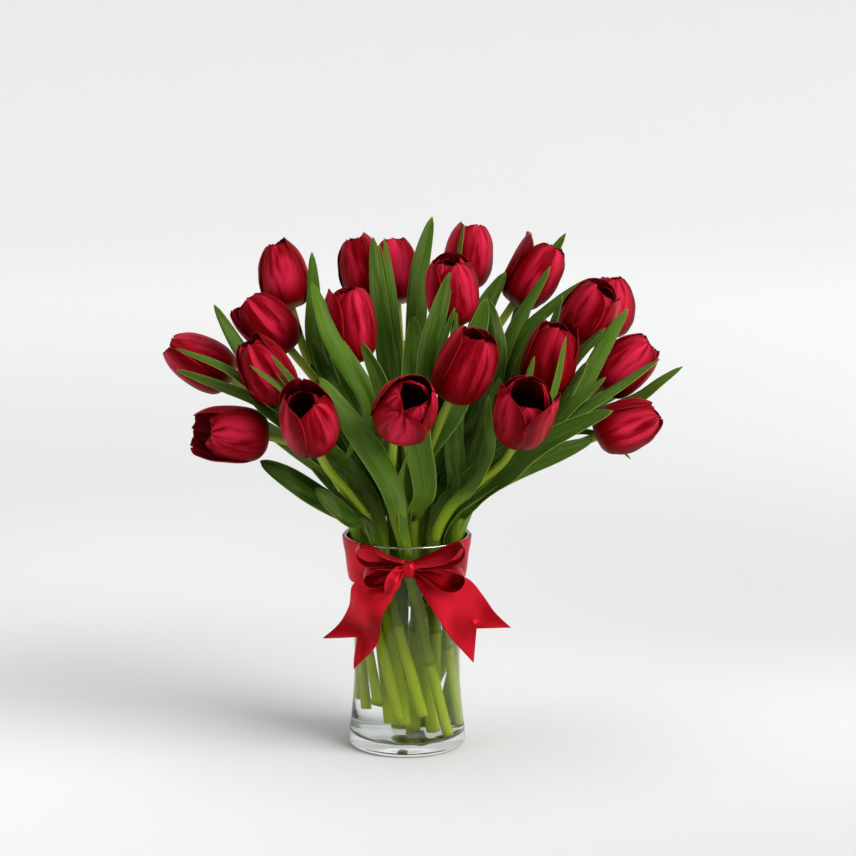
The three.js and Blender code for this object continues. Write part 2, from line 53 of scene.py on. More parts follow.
# Stage, in metres: how far out its wall stands, the radius of the bend between floor and wall, the wall's
# top, and the radii of the flat floor's first rings
STAGE_RADIUS = 7.0
STAGE_BEND = 3.5
STAGE_HEIGHT = 4.0
STAGE_FLOOR_RINGS = (0.4, 1.2)
STAGE_BEND_ROWS = 16
STAGE_COLUMNS = 96

# Light: square softboxes, and the air's strength on either side of a soft border. The border is given as the
# forward part of the way that a ray takes.
LIGHTS = [
    {"name": "key softbox", "at": (3.4, -2.2, 3.1), "aim": (0.0, 0.0, 0.28), "size": 3.4, "watts": 274},
    {"name": "fill softbox", "at": (-3.6, -2.4, 1.8), "aim": (0.0, 0.0, 0.25), "size": 2.4, "watts": 24},
    {"name": "top softbox", "at": (0.0, -0.1, 2.4), "aim": (0.0, 0.1, 0.2), "size": 1.4, "watts": 14},
]
AIR_IN_FRONT = 0.22
AIR_BEHIND = 0.46
AIR_BORDER = (-0.1, 0.4)

# Vase: its outer radius at each height, its wall and its floor, and how wide and how high the rounded corner
# between them is. Its underside and its floor, which rises a little, are (radius, height) pairs, the floor's
# above VASE_FLOOR.
VASE_SIDE = [
    (47.0, 0), (49.3, 1.2), (50.2, 3.5), (50.2, 8), (48.4, 25), (46.1, 49), (45.4, 79), (46.8, 123),
    (48.9, 145), (51.6, 164), (54.4, 185),
]
VASE_HEIGHT = 185.0
VASE_WALL = 3.0
VASE_FLOOR = 9.0
VASE_CORNER = (9.0, 8.0)
VASE_FOOT_ROWS = [0.0, 0.5, 1.2, 2.2, 3.5]
VASE_UNDERSIDE = [(0, 0.6), (30, 0.6), (42, 0.5), (44.5, 0.0)]
VASE_FLOOR_RISE = [(30, 0.3), (14, 0.8), (0, 1.0)]
VASE_ROWS = 60
VASE_COLUMNS = 144

# Water: its level, how far it reaches into the wall and into the floor, its own floor, and its meniscus,
# which climbs the wall so high and fades over so many millimetres from it
WATER_LEVEL = 132.0
WATER_INTO_GLASS = 0.12
WATER_INTO_FLOOR = 0.1
WATER_FLOOR_RISE = [(0, 0.9), (14, 0.7), (30, 0.2)]
WATER_ROWS = 46
MENISCUS = 1.6
MENISCUS_FADE = 1.6
MENISCUS_RINGS = [0.3, 0.9, 1.8, 3.2, 5.5, 9.0]

# Stems: the radius along one from its cut end, the corners of a ring of its node, how far it stands into its
# bloom, and its slow wave
STEM_ROWS = 84
STEM_COLUMNS = 14
STEM_RADIUS = [(0.0, 4.25), (0.45, 4.0), (0.8, 3.6), (1.0, 3.5)]
STEM_CORNERS = 8
STEM_INTO_BLOOM = 3.0
STEM_WAVE = 0.12
STEM_WAVE_LENGTH = 17.0

# The joint of a stem: the lowest place above the cut end and the range above it, how far the stem swells
# there and over what length, and how much thicker it is below
JOINT_LOWEST = 62.0
JOINT_RANGE = 50
JOINT_SWELL = 0.6
JOINT_SPAN = 3.2
JOINT_STEP = 0.35

# The face of a cut end: how far its front and its back stand out, and its radius as a share of the stem's
CUT_STANDS_OUT = [[0.32], [0.02]]
CUT_SHARE = 0.93

# Blooms: shares of the bloom's radius and length along a petal, for shut and wide open blooms, and the
# petal's half width as a share of the bloom's radius
PETAL_ROWS = 30
PETAL_COLUMNS = 19
SHUT_RADIUS = [
    (0, 0.16), (0.05, 0.46), (0.13, 0.75), (0.28, 0.96), (0.44, 1.0), (0.6, 0.96), (0.75, 0.85),
    (0.88, 0.66), (0.96, 0.48), (1, 0.36),
]
OPEN_RADIUS = [
    (0, 0.16), (0.05, 0.46), (0.13, 0.74), (0.28, 0.93), (0.44, 1.0), (0.6, 1.02), (0.75, 1.01),
    (0.88, 0.96), (0.96, 0.9), (1, 0.86),
]
PETAL_HEIGHT = [
    (0, 0), (0.05, 0.015), (0.13, 0.075), (0.28, 0.235), (0.44, 0.41), (0.6, 0.58), (0.8, 0.8), (1, 1),
]
PETAL_WIDTH = [
    (0, 0.22), (0.08, 0.5), (0.2, 0.84), (0.4, 1.1), (0.55, 1.15), (0.7, 1.1), (0.82, 0.96), (0.91, 0.74),
    (0.97, 0.46), (0.99, 0.28), (1, 0.08),
]
WIDEST_TURN = 1.35

# An outer petal and an inner one: its share of the width, of the radius and of the length, how far its edges
# stand proud, and how far one of them lies over its neighbour
OUTER_PETAL = {"width": 1.0, "radius": 1.0, "length": 1.0, "proud": 0.075, "overlap": 0.028}
INNER_PETAL = {"width": 0.93, "radius": 0.915, "length": 0.965, "proud": -0.05, "overlap": 0.012}

# How deep a petal's crease, ripples and ruffled edges are, as shares of its radius, and its uneven top, as a
# share of its length
CREASE = 0.022
RIPPLE = 0.009
RUFFLE = 0.022
UNEVEN_TOP = 0.028

# The heart of a bloom: the radius along the pistil and along an anther, the radius of an anther's thread, and
# the length of each as a share of the bloom's. All start a little above the bloom's foot.
HEART_FOOT = 2
HEART_ROWS = 9
PISTIL_RADIUS = [(0, 2.2), (0.5, 3.0), (0.8, 2.4), (0.93, 3.6), (1, 3.0)]
PISTIL_LENGTH = 0.36
THREAD_RADIUS = 0.6
THREAD_LENGTH = 0.2
ANTHER_RADIUS = [(0, 0.7), (0.3, 1.4), (0.7, 1.35), (1, 0.5)]
ANTHER_LENGTH = 0.19

# Each bloom: the turn in degrees of its first outer petal from the front, how far its outer petals and its
# inner ones have opened, how pale the foot of its petals is, and its tone from dark to light. "flare" is how
# far the three outer petals' tips stand out, and "tall" how long the outer and the inner petals are.
BLOOMS = [
    {"turn": -8, "open": 0.05, "cup": 0.05, "pale": 0.9, "tone": 0.7},
    {"turn": 10, "open": 0.15, "cup": 0.1, "pale": 0.1, "tone": 0.8, "flare": (0, 0, 0.4)},
    {"turn": 60, "open": 0.1, "cup": 0.1, "pale": 0.35, "tone": 0.4},
    {"turn": -5, "open": 0.15, "cup": 0.1, "pale": 0.1, "tone": 0.8, "flare": (0, 0, 0.1)},
    {"turn": 4, "open": 0.45, "cup": 0.3, "pale": 0.2, "tone": 0.5, "flare": (0.1, 0, 0.15),
     "tall": (0.8, 1, 1, 0.86, 1, 0.9)},
    {"turn": 46, "open": 0.46, "cup": 0.28, "pale": 0.1, "tone": 0.45, "flare": (0, 0, -0.05),
     "tall": (0.95, 1.14, 1, 0.94, 1, 0.78)},
    {"turn": -12, "open": 0.62, "cup": 0.25, "pale": 0.1, "tone": 0.5, "flare": (0, -0.1, 0),
     "tall": (0.9, 1, 1, 1, 1, 1)},
    {"turn": 25, "open": 0.42, "cup": 0.3, "pale": 0.1, "tone": 0.35, "flare": (0, 0.05, 0)},
    {"turn": 45, "open": 0.3, "cup": 0.25, "pale": 0.1, "tone": 0.75, "flare": (0, 0, 0.1)},
    {"turn": -25, "open": 0.1, "cup": 0.1, "pale": 0.2, "tone": 0.2},
    {"turn": -10, "open": 0.08, "cup": 0.1, "pale": 0.9, "tone": 0.9},
    {"turn": 35, "open": 0.15, "cup": 0.1, "pale": 0.1, "tone": 0.5, "flare": (0.05, 0, 0)},
    {"turn": 35, "open": 0.45, "cup": 0.35, "pale": 0.2, "tone": 0.5},
    {"turn": 10, "open": 0.25, "cup": 0.15, "pale": 0.5, "tone": 0.55, "flare": (0, 0, 0.6)},
    {"turn": -45, "open": 0.4, "cup": 0.3, "pale": 0.1, "tone": 0.4, "flare": (0, 0.1, 0)},
    {"turn": 15, "open": 0.15, "cup": 0.1, "pale": 0.2, "tone": 0.5},
    {"turn": 0, "open": 0.25, "cup": 0.2, "pale": 0.1, "tone": 0.1, "flare": (0, 0.15, 0.1)},
    {"turn": 62, "open": 0.62, "cup": 0.45, "pale": 0.5, "tone": 0.4, "flare": (0.3, -0.1, 0.05),
     "tall": (0.95, 1, 0.96, 1, 1, 0.86)},
    {"turn": -20, "open": 0.15, "cup": 0.1, "pale": 0.1, "tone": 0.5, "flare": (0, 0.1, 0)},
    {"turn": 5, "open": 0.15, "cup": 0.1, "pale": 0.1, "tone": 0.6},
]
TULIPS = range(1, len(BLOOMS) + 1)

# Leaves: half widths along a blade as shares of its widest, how tightly it is rolled along its length, as a
# radius in millimetres, the corners of a ring of its node, and the sheath that clasps the stem below it: how
# far down it reaches, how far out it lies and how wide it is. Then the share of a clasping leaf that is its
# sheath, and how far the edges of the leaves outside the frame wave.
LEAF_ROWS = 44
LEAF_COLUMNS = 11
LEAF_WIDTH = [
    (0, 0.5), (0.1, 0.62), (0.3, 0.9), (0.48, 1.0), (0.68, 0.97), (0.82, 0.82), (0.91, 0.6), (0.96, 0.4),
    (0.99, 0.19), (1, 0.05),
]
LEAF_ROLL = [(0, 5.0), (0.08, 7.5), (0.2, 16.0), (0.45, 28.0), (0.8, 34.0), (1, 18.0)]
LEAF_CORNERS = 4
SHEATH_LENGTHS = [48.0, 36.0, 24.0, 12.0]
SHEATH_OFFSET = 4.6
SHEATH_HALF_WIDTH = 8.5
CLASPING_SHEATH_SHARE = 0.15
USUAL_WAVE = 0.05

# How many places are worked out along a stem when a leaf is set on it, and along the new leaf's midrib
SHEATH_STEM_PLACES = 200
SMALL_LEAF_STEM_PLACES = 90
SMALL_LEAF_PLACES = 14
CLASPING_STEM_PLACES = 120
CLASPING_LEAF_PLACES = 12

# The frame's leaves: the stem of each, how light it is, and how far its edges wave
FRAME_LEAVES = [
    (7, 0.6, 0.05), (4, 0.75, 0.03), (8, 0.5, 0.03), (20, 0.5, 0.05), (18, 0.45, 0.10), (5, 0.15, 0.05),
    (6, 0.15, 0.05), (17, 0.85, 0.04), (20, 0.55, 0.04), (19, 0.75, 0.05), (5, 0.35, 0.05), (3, 0.15, 0.05),
    (11, 0.45, 0.04), (1, 0.6, 0.03), (9, 0.3, 0.04), (13, 0.1, 0.05), (14, 0.35, 0.05),
]

# One more leaf on each stem, which follows the stem: the heights of its foot and its tip, the turn in degrees
# from the front of the side that it grows on, how far its tip leans out, its width and how light it is
CLASPING_LEAVES = {
    1: (148, 330, 10, 14, 19, 0.35), 2: (148, 318, 10, 12, 18, 0.3), 3: (148, 296, 60, 8, 18, 0.2),
    4: (148, 296, 20, 7, 16, 0.35), 5: (148, 262, 100, 8, 16, 0.3), 6: (148, 262, -80, 8, 15, 0.65),
    7: (148, 272, 60, 9, 17, 0.6), 8: (148, 286, -70, 10, 18, 0.55), 9: (60, 318, 10, 9, 19, 0.5),
    10: (148, 345, 160, 14, 20, 0.3), 11: (148, 338, 190, 14, 20, 0.4), 12: (148, 350, 150, 16, 20, 0.3),
    13: (148, 326, 10, 12, 19, 0.4), 14: (148, 340, 20, 16, 20, 0.3), 15: (148, 316, -40, 12, 18, 0.4),
    16: (148, 312, 150, 12, 20, 0.35), 17: (120, 286, 30, 9, 17, 0.55), 18: (120, 262, 100, 9, 16, 0.7),
    19: (148, 284, 60, 9, 18, 0.45), 20: (148, 277, -10, 5, 19, 0.5),
}

# Smaller leaves between the blooms: the stem each grows from and the height there, its width, how light it
# is, the way its upper face looks, and the way its midrib takes to its tip
SMALL_LEAVES = [
    (4, 240, 11, 0.45, (0.3, -0.5, 0.8), [(-119, -62, 315), (-147, -56, 335), (-190, -48, 353)]),
    (4, 238, 9, 0.6, (0.6, -0.5, 0.6), [(-85, -63, 288), (-96, -78, 318), (-127, -84, 345)]),
    (4, 246, 8, 0.3, (0.6, -0.7, 0.4), [(-82, -64, 296), (-92, -80, 330), (-110, -83, 353)]),
    (4, 242, 7, 0.6, (0.6, -0.7, 0.4), [(-80, -64, 292), (-90, -77, 318), (-106, -81, 338)]),
    (9, 225, 16, 0.2, (0.5, -0.8, 0.1), [(-39, -14, 277), (-65, -4, 318), (-80, 3, 352)]),
    (7, 220, 16, 0.35, (-0.4, -0.9, 0.1), [(-14, -48, 285), (-21, -50, 323), (-37, -46, 357)]),
    (10, 262, 9, 0.75, (0.5, -0.8, 0.1), [(-7, 10, 330), (-10, 28, 373), (-19, 40, 433)]),
    (9, 240, 8, 0.6, (0.2, -0.9, 0.1), [(-8, 4, 300), (-17, 19, 383), (-23, 22, 430)]),
    (12, 262, 7, 0.85, (-0.6, -0.7, 0.1), [(42, 32, 372), (44, 36, 417), (49, 36, 445)]),
    (13, 240, 19, 0.3, (0.3, -0.9, 0.1), [(17, -38, 290), (19, -38, 345), (36, -30, 413)]),
    (4, 228, 15, 0.2, (0.4, -0.6, 0.7), [(-78, -62, 268), (-96, -68, 290), (-128, -62, 312)]),
    (13, 225, 9, 0.45, (-0.5, -0.8, 0.1), [(21, -38, 321), (28, -37, 350), (40, -34, 384)]),
    (13, 240, 6, 0.3, (0.4, -0.8, 0.1), [(34, -26, 341), (41, -26, 366), (41, -25, 386)]),
    (8, 235, 22, 0.4, (0.3, -0.9, 0.1), [(42, -20, 304), (55, -12, 350), (67, -5, 388)]),
    (14, 232, 20, 0.3, (0.2, -0.9, 0.2), [(56, 20, 331), (66, 26, 373), (84, 30, 405)]),
    (16, 240, 15, 0.5, (0.2, -0.9, 0.2), [(96, 58, 356), (119, 66, 405), (137, 70, 433)]),
    (14, 238, 14, 0.85, (-0.6, -0.7, 0.3), [(71, 5, 312), (90, 10, 360), (121, 10, 412)]),
    (15, 250, 9, 0.25, (-0.4, -0.8, 0.2), [(101, -10, 314), (117, -16, 353), (130, -18, 392)]),
    (15, 262, 8, 0.8, (-0.2, -0.9, 0.2), [(95, -6, 331), (106, -8, 360), (116, -13, 374)]),
    (18, 232, 10, 0.9, (0.7, -0.6, 0.2), [(113, -54, 290), (121, -58, 320), (131, -60, 364)]),
    (17, 235, 9, 0.6, (0.1, -0.9, 0.2), [(95, -60, 307), (101, -58, 332), (105, -56, 347)]),
    (19, 240, 13, 0.3, (-0.3, -0.7, 0.6), [(119, -16, 303), (140, -26, 340), (165, -32, 367)]),
    (19, 232, 14, 0.25, (-0.4, -0.6, 0.6), [(108, -38, 279), (127, -44, 306), (150, -40, 340)]),
    (20, 225, 14, 0.5, (-0.3, -0.6, 0.6), [(106, -50, 273), (135, -54, 305), (164, -52, 329)]),
    (13, 190, 19, 0.2, (0.3, -0.9, 0.1), [(42, -30, 226), (40, -26, 271), (46, -15, 308)]),
    (14, 195, 20, 0.25, (-0.3, -0.9, 0.1), [(56, -32, 247), (68, -28, 285), (78, -18, 322)]),
    (20, 245, 5, 0.8, (0.1, -0.9, 0.3), [(146, -36, 280), (172, -28, 270), (188, -26, 254)]),
    (10, 215, 24, 0.3, (-0.2, 0.9, 0.2), [(-36, 50, 265), (-52, 66, 310), (-62, 72, 352)]),
    (11, 205, 25, 0.45, (0.1, 1.0, 0.1), [(-6, 64, 262), (-4, 88, 305), (0, 98, 336)]),
    (12, 210, 23, 0.35, (0.3, 0.9, 0.1), [(38, 56, 268), (56, 78, 318), (66, 84, 352)]),
    (16, 212, 24, 0.5, (0.4, 0.8, 0.3), [(82, 46, 262), (118, 66, 298), (150, 84, 318)]),
    (1, 205, 24, 0.4, (-0.5, 0.8, 0.3), [(-68, 40, 262), (-98, 50, 300), (-124, 58, 324)]),
    (14, 205, 22, 0.3, (0.5, 0.8, 0.2), [(62, 34, 256), (92, 52, 300), (112, 60, 340)]),
    (3, 205, 22, 0.35, (-0.3, 0.6, 0.7), [(-88, 22, 250), (-126, 34, 276), (-158, 40, 284)]),
    (2, 225, 20, 0.5, (0.2, 0.9, 0.2), [(-52, 26, 280), (-74, 46, 330), (-84, 56, 372)]),
    (19, 215, 22, 0.4, (0.1, 0.6, 0.8), [(104, 24, 256), (146, 36, 286), (184, 42, 296)]),
]

# Ribbon: a 38 mm strip, gathered at the knot. Its length is an estimate, shorter than the paths below, which
# come to about 975 mm. Paths are [x, y, z] places, and so many are worked out along an edge.
RIBBON_WIDTH = 38.0
RIBBON_THICKNESS = 0.35
RIBBON_COLUMNS = 25
EDGE_PLACES = 240

# The band round the glass. Angles are degrees from the knot: where it starts and ends, where it is gathered,
# and where it sinks on its way to the back. It lies a little clear of the glass, in pleats that fade from the
# knot and in shallow ripples. The satin's pattern is laid along it at BAND_RADIUS.
BAND_MIDDLE = 166.0
BAND_HALF = 19.3
BAND_HALF_AT_KNOT = 7.0
BAND_ENDS = (2.0, 358.0)
BAND_ROWS = 181
BAND_GATHER = (8.0, 50.0)
BAND_SINKS = 2.4
BAND_SINKS_OVER = (70, 130)
BAND_CLEAR = 0.5
BAND_PLEAT = 1.5
BAND_PLEAT_FADE = 24
BAND_RIPPLE = 0.25
BAND_RADIUS = 50

# The knot, and the depth and number of the pleats that run out from it
KNOT_AT = (1.0, -60.5, 168.0)
KNOT_HALF = (6.6, 6.4, 7.0)
KNOT_ROWS = 26
KNOT_COLUMNS = 60
LOOP_PLEATS = (1.1, 3.0)
TAIL_PLEATS = (2.2, 4.0)
LOOP_ROWS = 64
TAIL_ROWS = 70

# The bow's loops, each from the knot out and back to it: their front and back edges, as [x, z] seen from the
# front. The middle of a front edge stands furthest out.
LOOP_FRONT_Y = (-65.0, -73.0)
LOOP_BACK_Y = -57.0
LOOPS = [
    {"front": [(-2, 173.5), (-13, 177.5), (-23, 182.5), (-32, 187), (-38, 189), (-42, 185.5), (-40.5, 178.5),
               (-35, 173), (-25.5, 172), (-15, 172), (-2, 171)],
     "back": [(-2, 174), (-13, 178.5), (-24, 184.5), (-33, 189), (-39, 189), (-42.5, 185), (-41, 178.5),
              (-34, 174), (-24, 173), (-14, 172), (-2, 170.5)]},
    {"front": [(5, 170), (14, 171), (24, 172.5), (33, 175.5), (40, 182), (44, 187.5), (47, 189.5),
               (48, 184.5), (45, 177.5), (38, 173), (26, 171), (14, 168), (5, 167.5)],
     "back": [(3, 173), (13.5, 178), (26, 184), (35, 188.5), (41, 190.5), (44, 190.5), (46.5, 188.5),
              (47, 183.5), (44, 177), (37, 174), (26, 172), (14, 169.5), (5, 168)]},
    {"front": [(5, 168.5), (16.5, 168), (27.5, 170), (37.5, 170), (45, 167.5), (48, 162), (45.5, 155),
               (37.5, 151), (29, 152.5), (20, 158.5), (11.5, 164.5), (5, 167)],
     "back": [(5, 169), (16.5, 169.5), (27.5, 171), (37.5, 171.5), (44.5, 169), (47.5, 164), (45.5, 158),
              (37.5, 154.5), (29.5, 155.5), (20, 160), (11.5, 164.5), (5, 166)]},
    {"front": [(-4, 169), (-15.5, 169), (-26.5, 170), (-33, 166.5), (-36, 161.5), (-33.5, 156.5),
               (-27.5, 154.5), (-19, 156.5), (-11.5, 162), (-4, 167)],
     "back": [(-4, 169), (-16, 170), (-26.5, 171.5), (-33.5, 169), (-36, 164.5), (-33.5, 160), (-27.5, 158),
              (-19, 158.5), (-11.5, 163), (-4, 166)]},
]

# The tails and the short strap beside the knot: their left and right edges, from the knot down. A notch is a
# share of the tail's length, and a fold is how far the tail sways out of its plane.
TAILS = [
    {"left": [(-2, -60, 170), (-27, -61, 165), (-45, -53, 153.5), (-49, -42, 131.5), (-58, -33, 113.5),
              (-72, -28, 99.5)],
     "right": [(-1, -60, 164), (-8, -66, 155), (-12, -69, 146), (-21, -66, 128.5), (-24, -58, 105.5),
               (-45, -48, 78)],
     "notch": 0.2, "fold": 4.2},
    {"left": [(4, -60, 164), (12, -64, 149), (25, -64, 128), (36, -58, 109), (46, -53, 96), (56, -50, 84)],
     "right": [(5, -60, 170), (34, -64, 167), (52, -56, 158), (64, -48, 142), (74, -42, 126),
               (88, -37, 111)],
     "notch": 0.22, "fold": 3.2},
]
STRAP = {
    "left": [(-3, -62, 171), (-10, -69, 171.5), (-16, -72, 166), (-19, -71, 157), (-17.5, -67, 147)],
    "right": [(-2, -62, 167), (-4, -67, 163), (-6, -69, 156), (-10, -68, 150), (-15, -66, 146)],
    "notch": 0.0, "fold": 1.6,
}

# Colours, as linear red, green and blue. A pair goes from the dark to the light of a pattern.
PETAL_STREAKS = ((0.115, 0.0002, 0.0006), (0.250, 0.0008, 0.0020))
PETAL_PAINTED_HIGHLIGHT = (0.650, 0.0200, 0.0600)
PETAL_PAINTED_SHADE = (0.065, 0.0001, 0.0003)
PETAL_RIM_AND_PAINTED_LIGHT = (0.560, 0.0200, 0.0330)
PETAL_FOOT = (0.500, 0.430, 0.220)
PETAL_MAROON_AND_SHADE = (0.040, 0.0006, 0.0020)
LEAF_DARK_VEINS = ((0.0060, 0.0220, 0.0012), (0.0160, 0.0480, 0.0030))
LEAF_LIGHT_VEINS = ((0.0620, 0.1500, 0.0090), (0.1150, 0.2300, 0.0200))
LEAF_WAX = (0.1050, 0.1550, 0.0400)
LEAF_RIB = (0.1300, 0.2200, 0.0350)
LEAF_EDGE_AND_PAINTED_LIGHT = (0.2800, 0.4200, 0.0700)
LEAF_FOOT = (0.2900, 0.4300, 0.0200)
STEM_STREAKS = ((0.200, 0.300, 0.012), (0.340, 0.450, 0.030))
STEM_MOTTLE = (0.330, 0.360, 0.050)
STEM_LOW_PAINTED_LIGHT = (0.720, 0.900, 0.020)
STEM_SCAR = (0.140, 0.210, 0.010)
STEM_TOP = (0.330, 0.360, 0.090)
CUT_PITH = ((0.42, 0.55, 0.20), (0.60, 0.68, 0.36))
PISTIL_GREEN = ((0.30, 0.36, 0.10), (0.46, 0.50, 0.18))
POLLEN = ((0.008, 0.004, 0.012), (0.045, 0.018, 0.040))
GLASS_TINT = ((0.975, 0.990, 0.980), (0.990, 1.0, 0.995))
WATER_TINT = ((0.975, 0.990, 0.965), (0.990, 1.0, 0.985))
SATIN_PAINTED_SHEEN = ((0.270, 0.0018, 0.0045), (0.600, 0.0110, 0.0260))
SATIN_SELVEDGE = (0.560, 0.0120, 0.0200)
SATIN_PAINTED_SHADE_INSIDE = (0.080, 0.0002, 0.0006)
PAPER_PAINTED_SHADE_FRONT_TO_BACK = ((0.60, 0.60, 0.60), (0.76, 0.76, 0.76))
PAPER_PAINTED_LIGHT_LEFT = (0.97, 0.97, 0.97)
PAPER_SHADED = (0.60, 0.60, 0.60)
NO_GLOW = (0.0, 0.0, 0.0)
FULL_GLOW = (1.0, 1.0, 1.0)


# Numbers and curves


def unit(vectors):
    """The vectors, each made one long."""
    return vectors / np.linalg.norm(vectors, axis=-1, keepdims=True)


def smoothstep(x, low, high):
    """0 below low, 1 above high, and 3t^2 - 2t^3 between them."""
    t = np.clip((np.asarray(x, float) - low) / (high - low), 0, 1)
    return t * t * (3 - 2 * t)


def hermite(at, values, want):
    """Values at the wanted places on cubic spans through the given ones, whose slopes come from the values
    on either side."""
    slope = np.gradient(values, at, axis=0)
    i = np.clip(np.searchsorted(at, want, side="right") - 1, 0, len(at) - 2)
    shape = (-1,) + (1,) * (values.ndim - 1)
    h = (at[i + 1] - at[i]).reshape(shape)
    s = (want - at[i]).reshape(shape) / h
    start = (2 * s**3 - 3 * s**2 + 1) * values[i] + (s**3 - 2 * s**2 + s) * h * slope[i]
    return start + (3 * s**2 - 2 * s**3) * values[i + 1] + (s**3 - s**2) * h * slope[i + 1]


def keyed(pairs, x):
    """The value at x of a smooth curve through (place, value) pairs."""
    at, value = np.array(pairs, float).T
    return hermite(at, value, np.asarray(x, float))


def lengths(points):
    """The length of a line of points up to each of them."""
    return np.concatenate([[0.0], np.cumsum(np.linalg.norm(np.diff(points, axis=0), axis=1))])


def smooth(points, count):
    """Points evenly spaced along a smooth curve through the given ones."""
    points = np.asarray(points, float)
    at = lengths(points)
    return hermite(at, points, np.linspace(0, at[-1], count))


def crowded(count):
    """Shares from 0 to 1 that lie closer together near both ends."""
    q = np.linspace(0, 1, count)
    return q - 0.6 * np.sin(2 * PI * q) / (2 * PI)


# Patches: points, faces, a UV for each point, and values for each point


def grid_faces(rows, columns, closed):
    """Quads between neighbouring rows and columns, facing the side where columns run to the left of rows."""
    here = np.arange(rows * columns).reshape(rows, columns)
    if closed:
        here = np.concatenate([here, here[:, :1]], axis=1)
    quads = np.stack([here[:-1, :-1], here[:-1, 1:], here[1:, 1:], here[1:, :-1]], axis=-1)
    return quads.reshape(-1, 4)


def shell(grid, thickness, across, along):
    """A thin closed body about a grid of points: the grid moved half the thickness to either side along its
    normals, and a rim of quads round the edge. Its value 'inner' is 1 on the side away from the normals."""
    rows, columns, _ = grid.shape
    normal = unit(np.cross(np.gradient(grid, axis=1), np.gradient(grid, axis=0)))
    half = np.broadcast_to(thickness, (rows, columns))[..., None] / 2
    points = np.concatenate([(grid + normal * half).reshape(-1, 3), (grid - normal * half).reshape(-1, 3)])
    front = grid_faces(rows, columns, closed=False)
    count = rows * columns
    index = np.arange(count).reshape(rows, columns)
    edge = np.concatenate([index[0, :-1], index[:-1, -1], index[-1, :0:-1], index[:0:-1, 0]])
    after = np.roll(edge, -1)
    rim = np.stack([edge, edge + count, after + count, after], axis=-1)
    uv = np.stack([np.broadcast_to(value, (rows, columns)) for value in (across, along)], axis=-1)
    return {
        "points": points,
        "faces": [front, front[:, ::-1] + count, rim],
        "uv": np.concatenate([uv.reshape(-1, 2)] * 2),
        "inner": np.repeat([0.0, 1.0], count),
    }


def closed_round(grid, first, last, along):
    """A closed body round a line: a grid whose columns meet, with a pole at either end."""
    rows, columns, _ = grid.shape
    count = rows * columns
    ring = np.arange(columns)
    after = np.roll(ring, -1)
    last_ring = ring + count - columns
    start = np.stack([np.full(columns, count), after, ring], axis=-1)
    end = np.stack([last_ring, after + count - columns, np.full(columns, count + 1)], axis=-1)
    around = np.broadcast_to(np.abs(2 * ring / columns - 1), (rows, columns))
    uv = np.stack([around, np.broadcast_to(along[:, None], (rows, columns))], axis=-1).reshape(-1, 2)
    return {
        "points": np.concatenate([grid.reshape(-1, 3), [first, last]]),
        "faces": [grid_faces(rows, columns, closed=True), start, end],
        "uv": np.concatenate([uv, [[0.5, along[0]], [0.5, along[-1]]]]),
        "inner": np.zeros(count + 2),
    }


def tube(path, radius, columns, first_cap=0.0, last_cap=0.0):
    """A round bar: at each point of the path a circle of that radius, square to the path. Its poles stand
    out from its end rings by the caps."""
    along = unit(np.gradient(path, axis=0))
    side = unit(np.cross(along, (0.0, 1.0, 0.0)))
    rise = np.cross(side, along)
    turn = np.arange(columns) / columns * 2 * PI
    circle = np.cos(turn)[:, None] * side[:, None] - np.sin(turn)[:, None] * rise[:, None]
    grid = path[:, None] + circle * np.broadcast_to(radius, len(path))[:, None, None]
    share = np.linspace(0, 1, len(path))
    return closed_round(grid, path[0] - along[0] * first_cap, path[-1] + along[-1] * last_cap, share)


def turned(profile):
    """A body of revolution about +Z through (radius, height) pairs that start and end on the axis."""
    profile = np.asarray(profile, float)
    turn = np.arange(VASE_COLUMNS) / VASE_COLUMNS * 2 * PI
    rim = profile[1:-1]
    x = rim[:, :1] * np.cos(turn)
    y = rim[:, :1] * np.sin(turn)
    grid = np.stack([x, y, np.broadcast_to(rim[:, 1:], x.shape)], axis=-1)
    ends = [(0.0, 0.0, profile[0, 1]), (0.0, 0.0, profile[-1, 1])]
    return closed_round(grid, *ends, rim[:, 1] / VASE_HEIGHT)


def add_piece(name, patches, materials, slot, replaces=(), **values):
    """One object from patches, each a dict with an optional material number. The values are numbers that
    the material reads, the same all over the piece."""
    start = 0
    faces = []
    which = []
    for patch in patches:
        count = len(faces)
        for group in patch["faces"]:
            faces += (group + start).tolist()
        which += [patch.get("material", 0)] * (len(faces) - count)
        start += len(patch["points"])
    points = np.concatenate([patch["points"] for patch in patches]) * MM
    mesh = bpy.data.meshes.new(name)
    mesh.from_pydata(points.tolist(), [], faces)
    corners = np.empty(len(mesh.loops), int)
    mesh.loops.foreach_get("vertex_index", corners)
    uv = np.concatenate([patch["uv"] for patch in patches])[corners]
    mesh.uv_layers.new(name="surface").uv.foreach_set("vector", uv.astype(np.float32).ravel())
    fields = {"inner": np.concatenate([patch["inner"] for patch in patches])}
    fields.update({key: np.full(start, value) for key, value in values.items()})
    for key, value in fields.items():
        mesh.attributes.new(key, "FLOAT", "POINT").data.foreach_set("value", value.astype(np.float32))
    for material in materials:
        mesh.materials.append(material)
    mesh.polygons.foreach_set("material_index", np.array(which, np.int32))
    mesh.polygons.foreach_set("use_smooth", np.ones(len(faces), bool))
    mesh.update()
    piece = bpy.data.objects.new(name, mesh)
    bpy.context.scene.collection.objects.link(piece)
    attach(piece, "root")
    if replaces:
        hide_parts(*replaces)
    return piece


# Materials: shader maths is written as Python expressions on Value


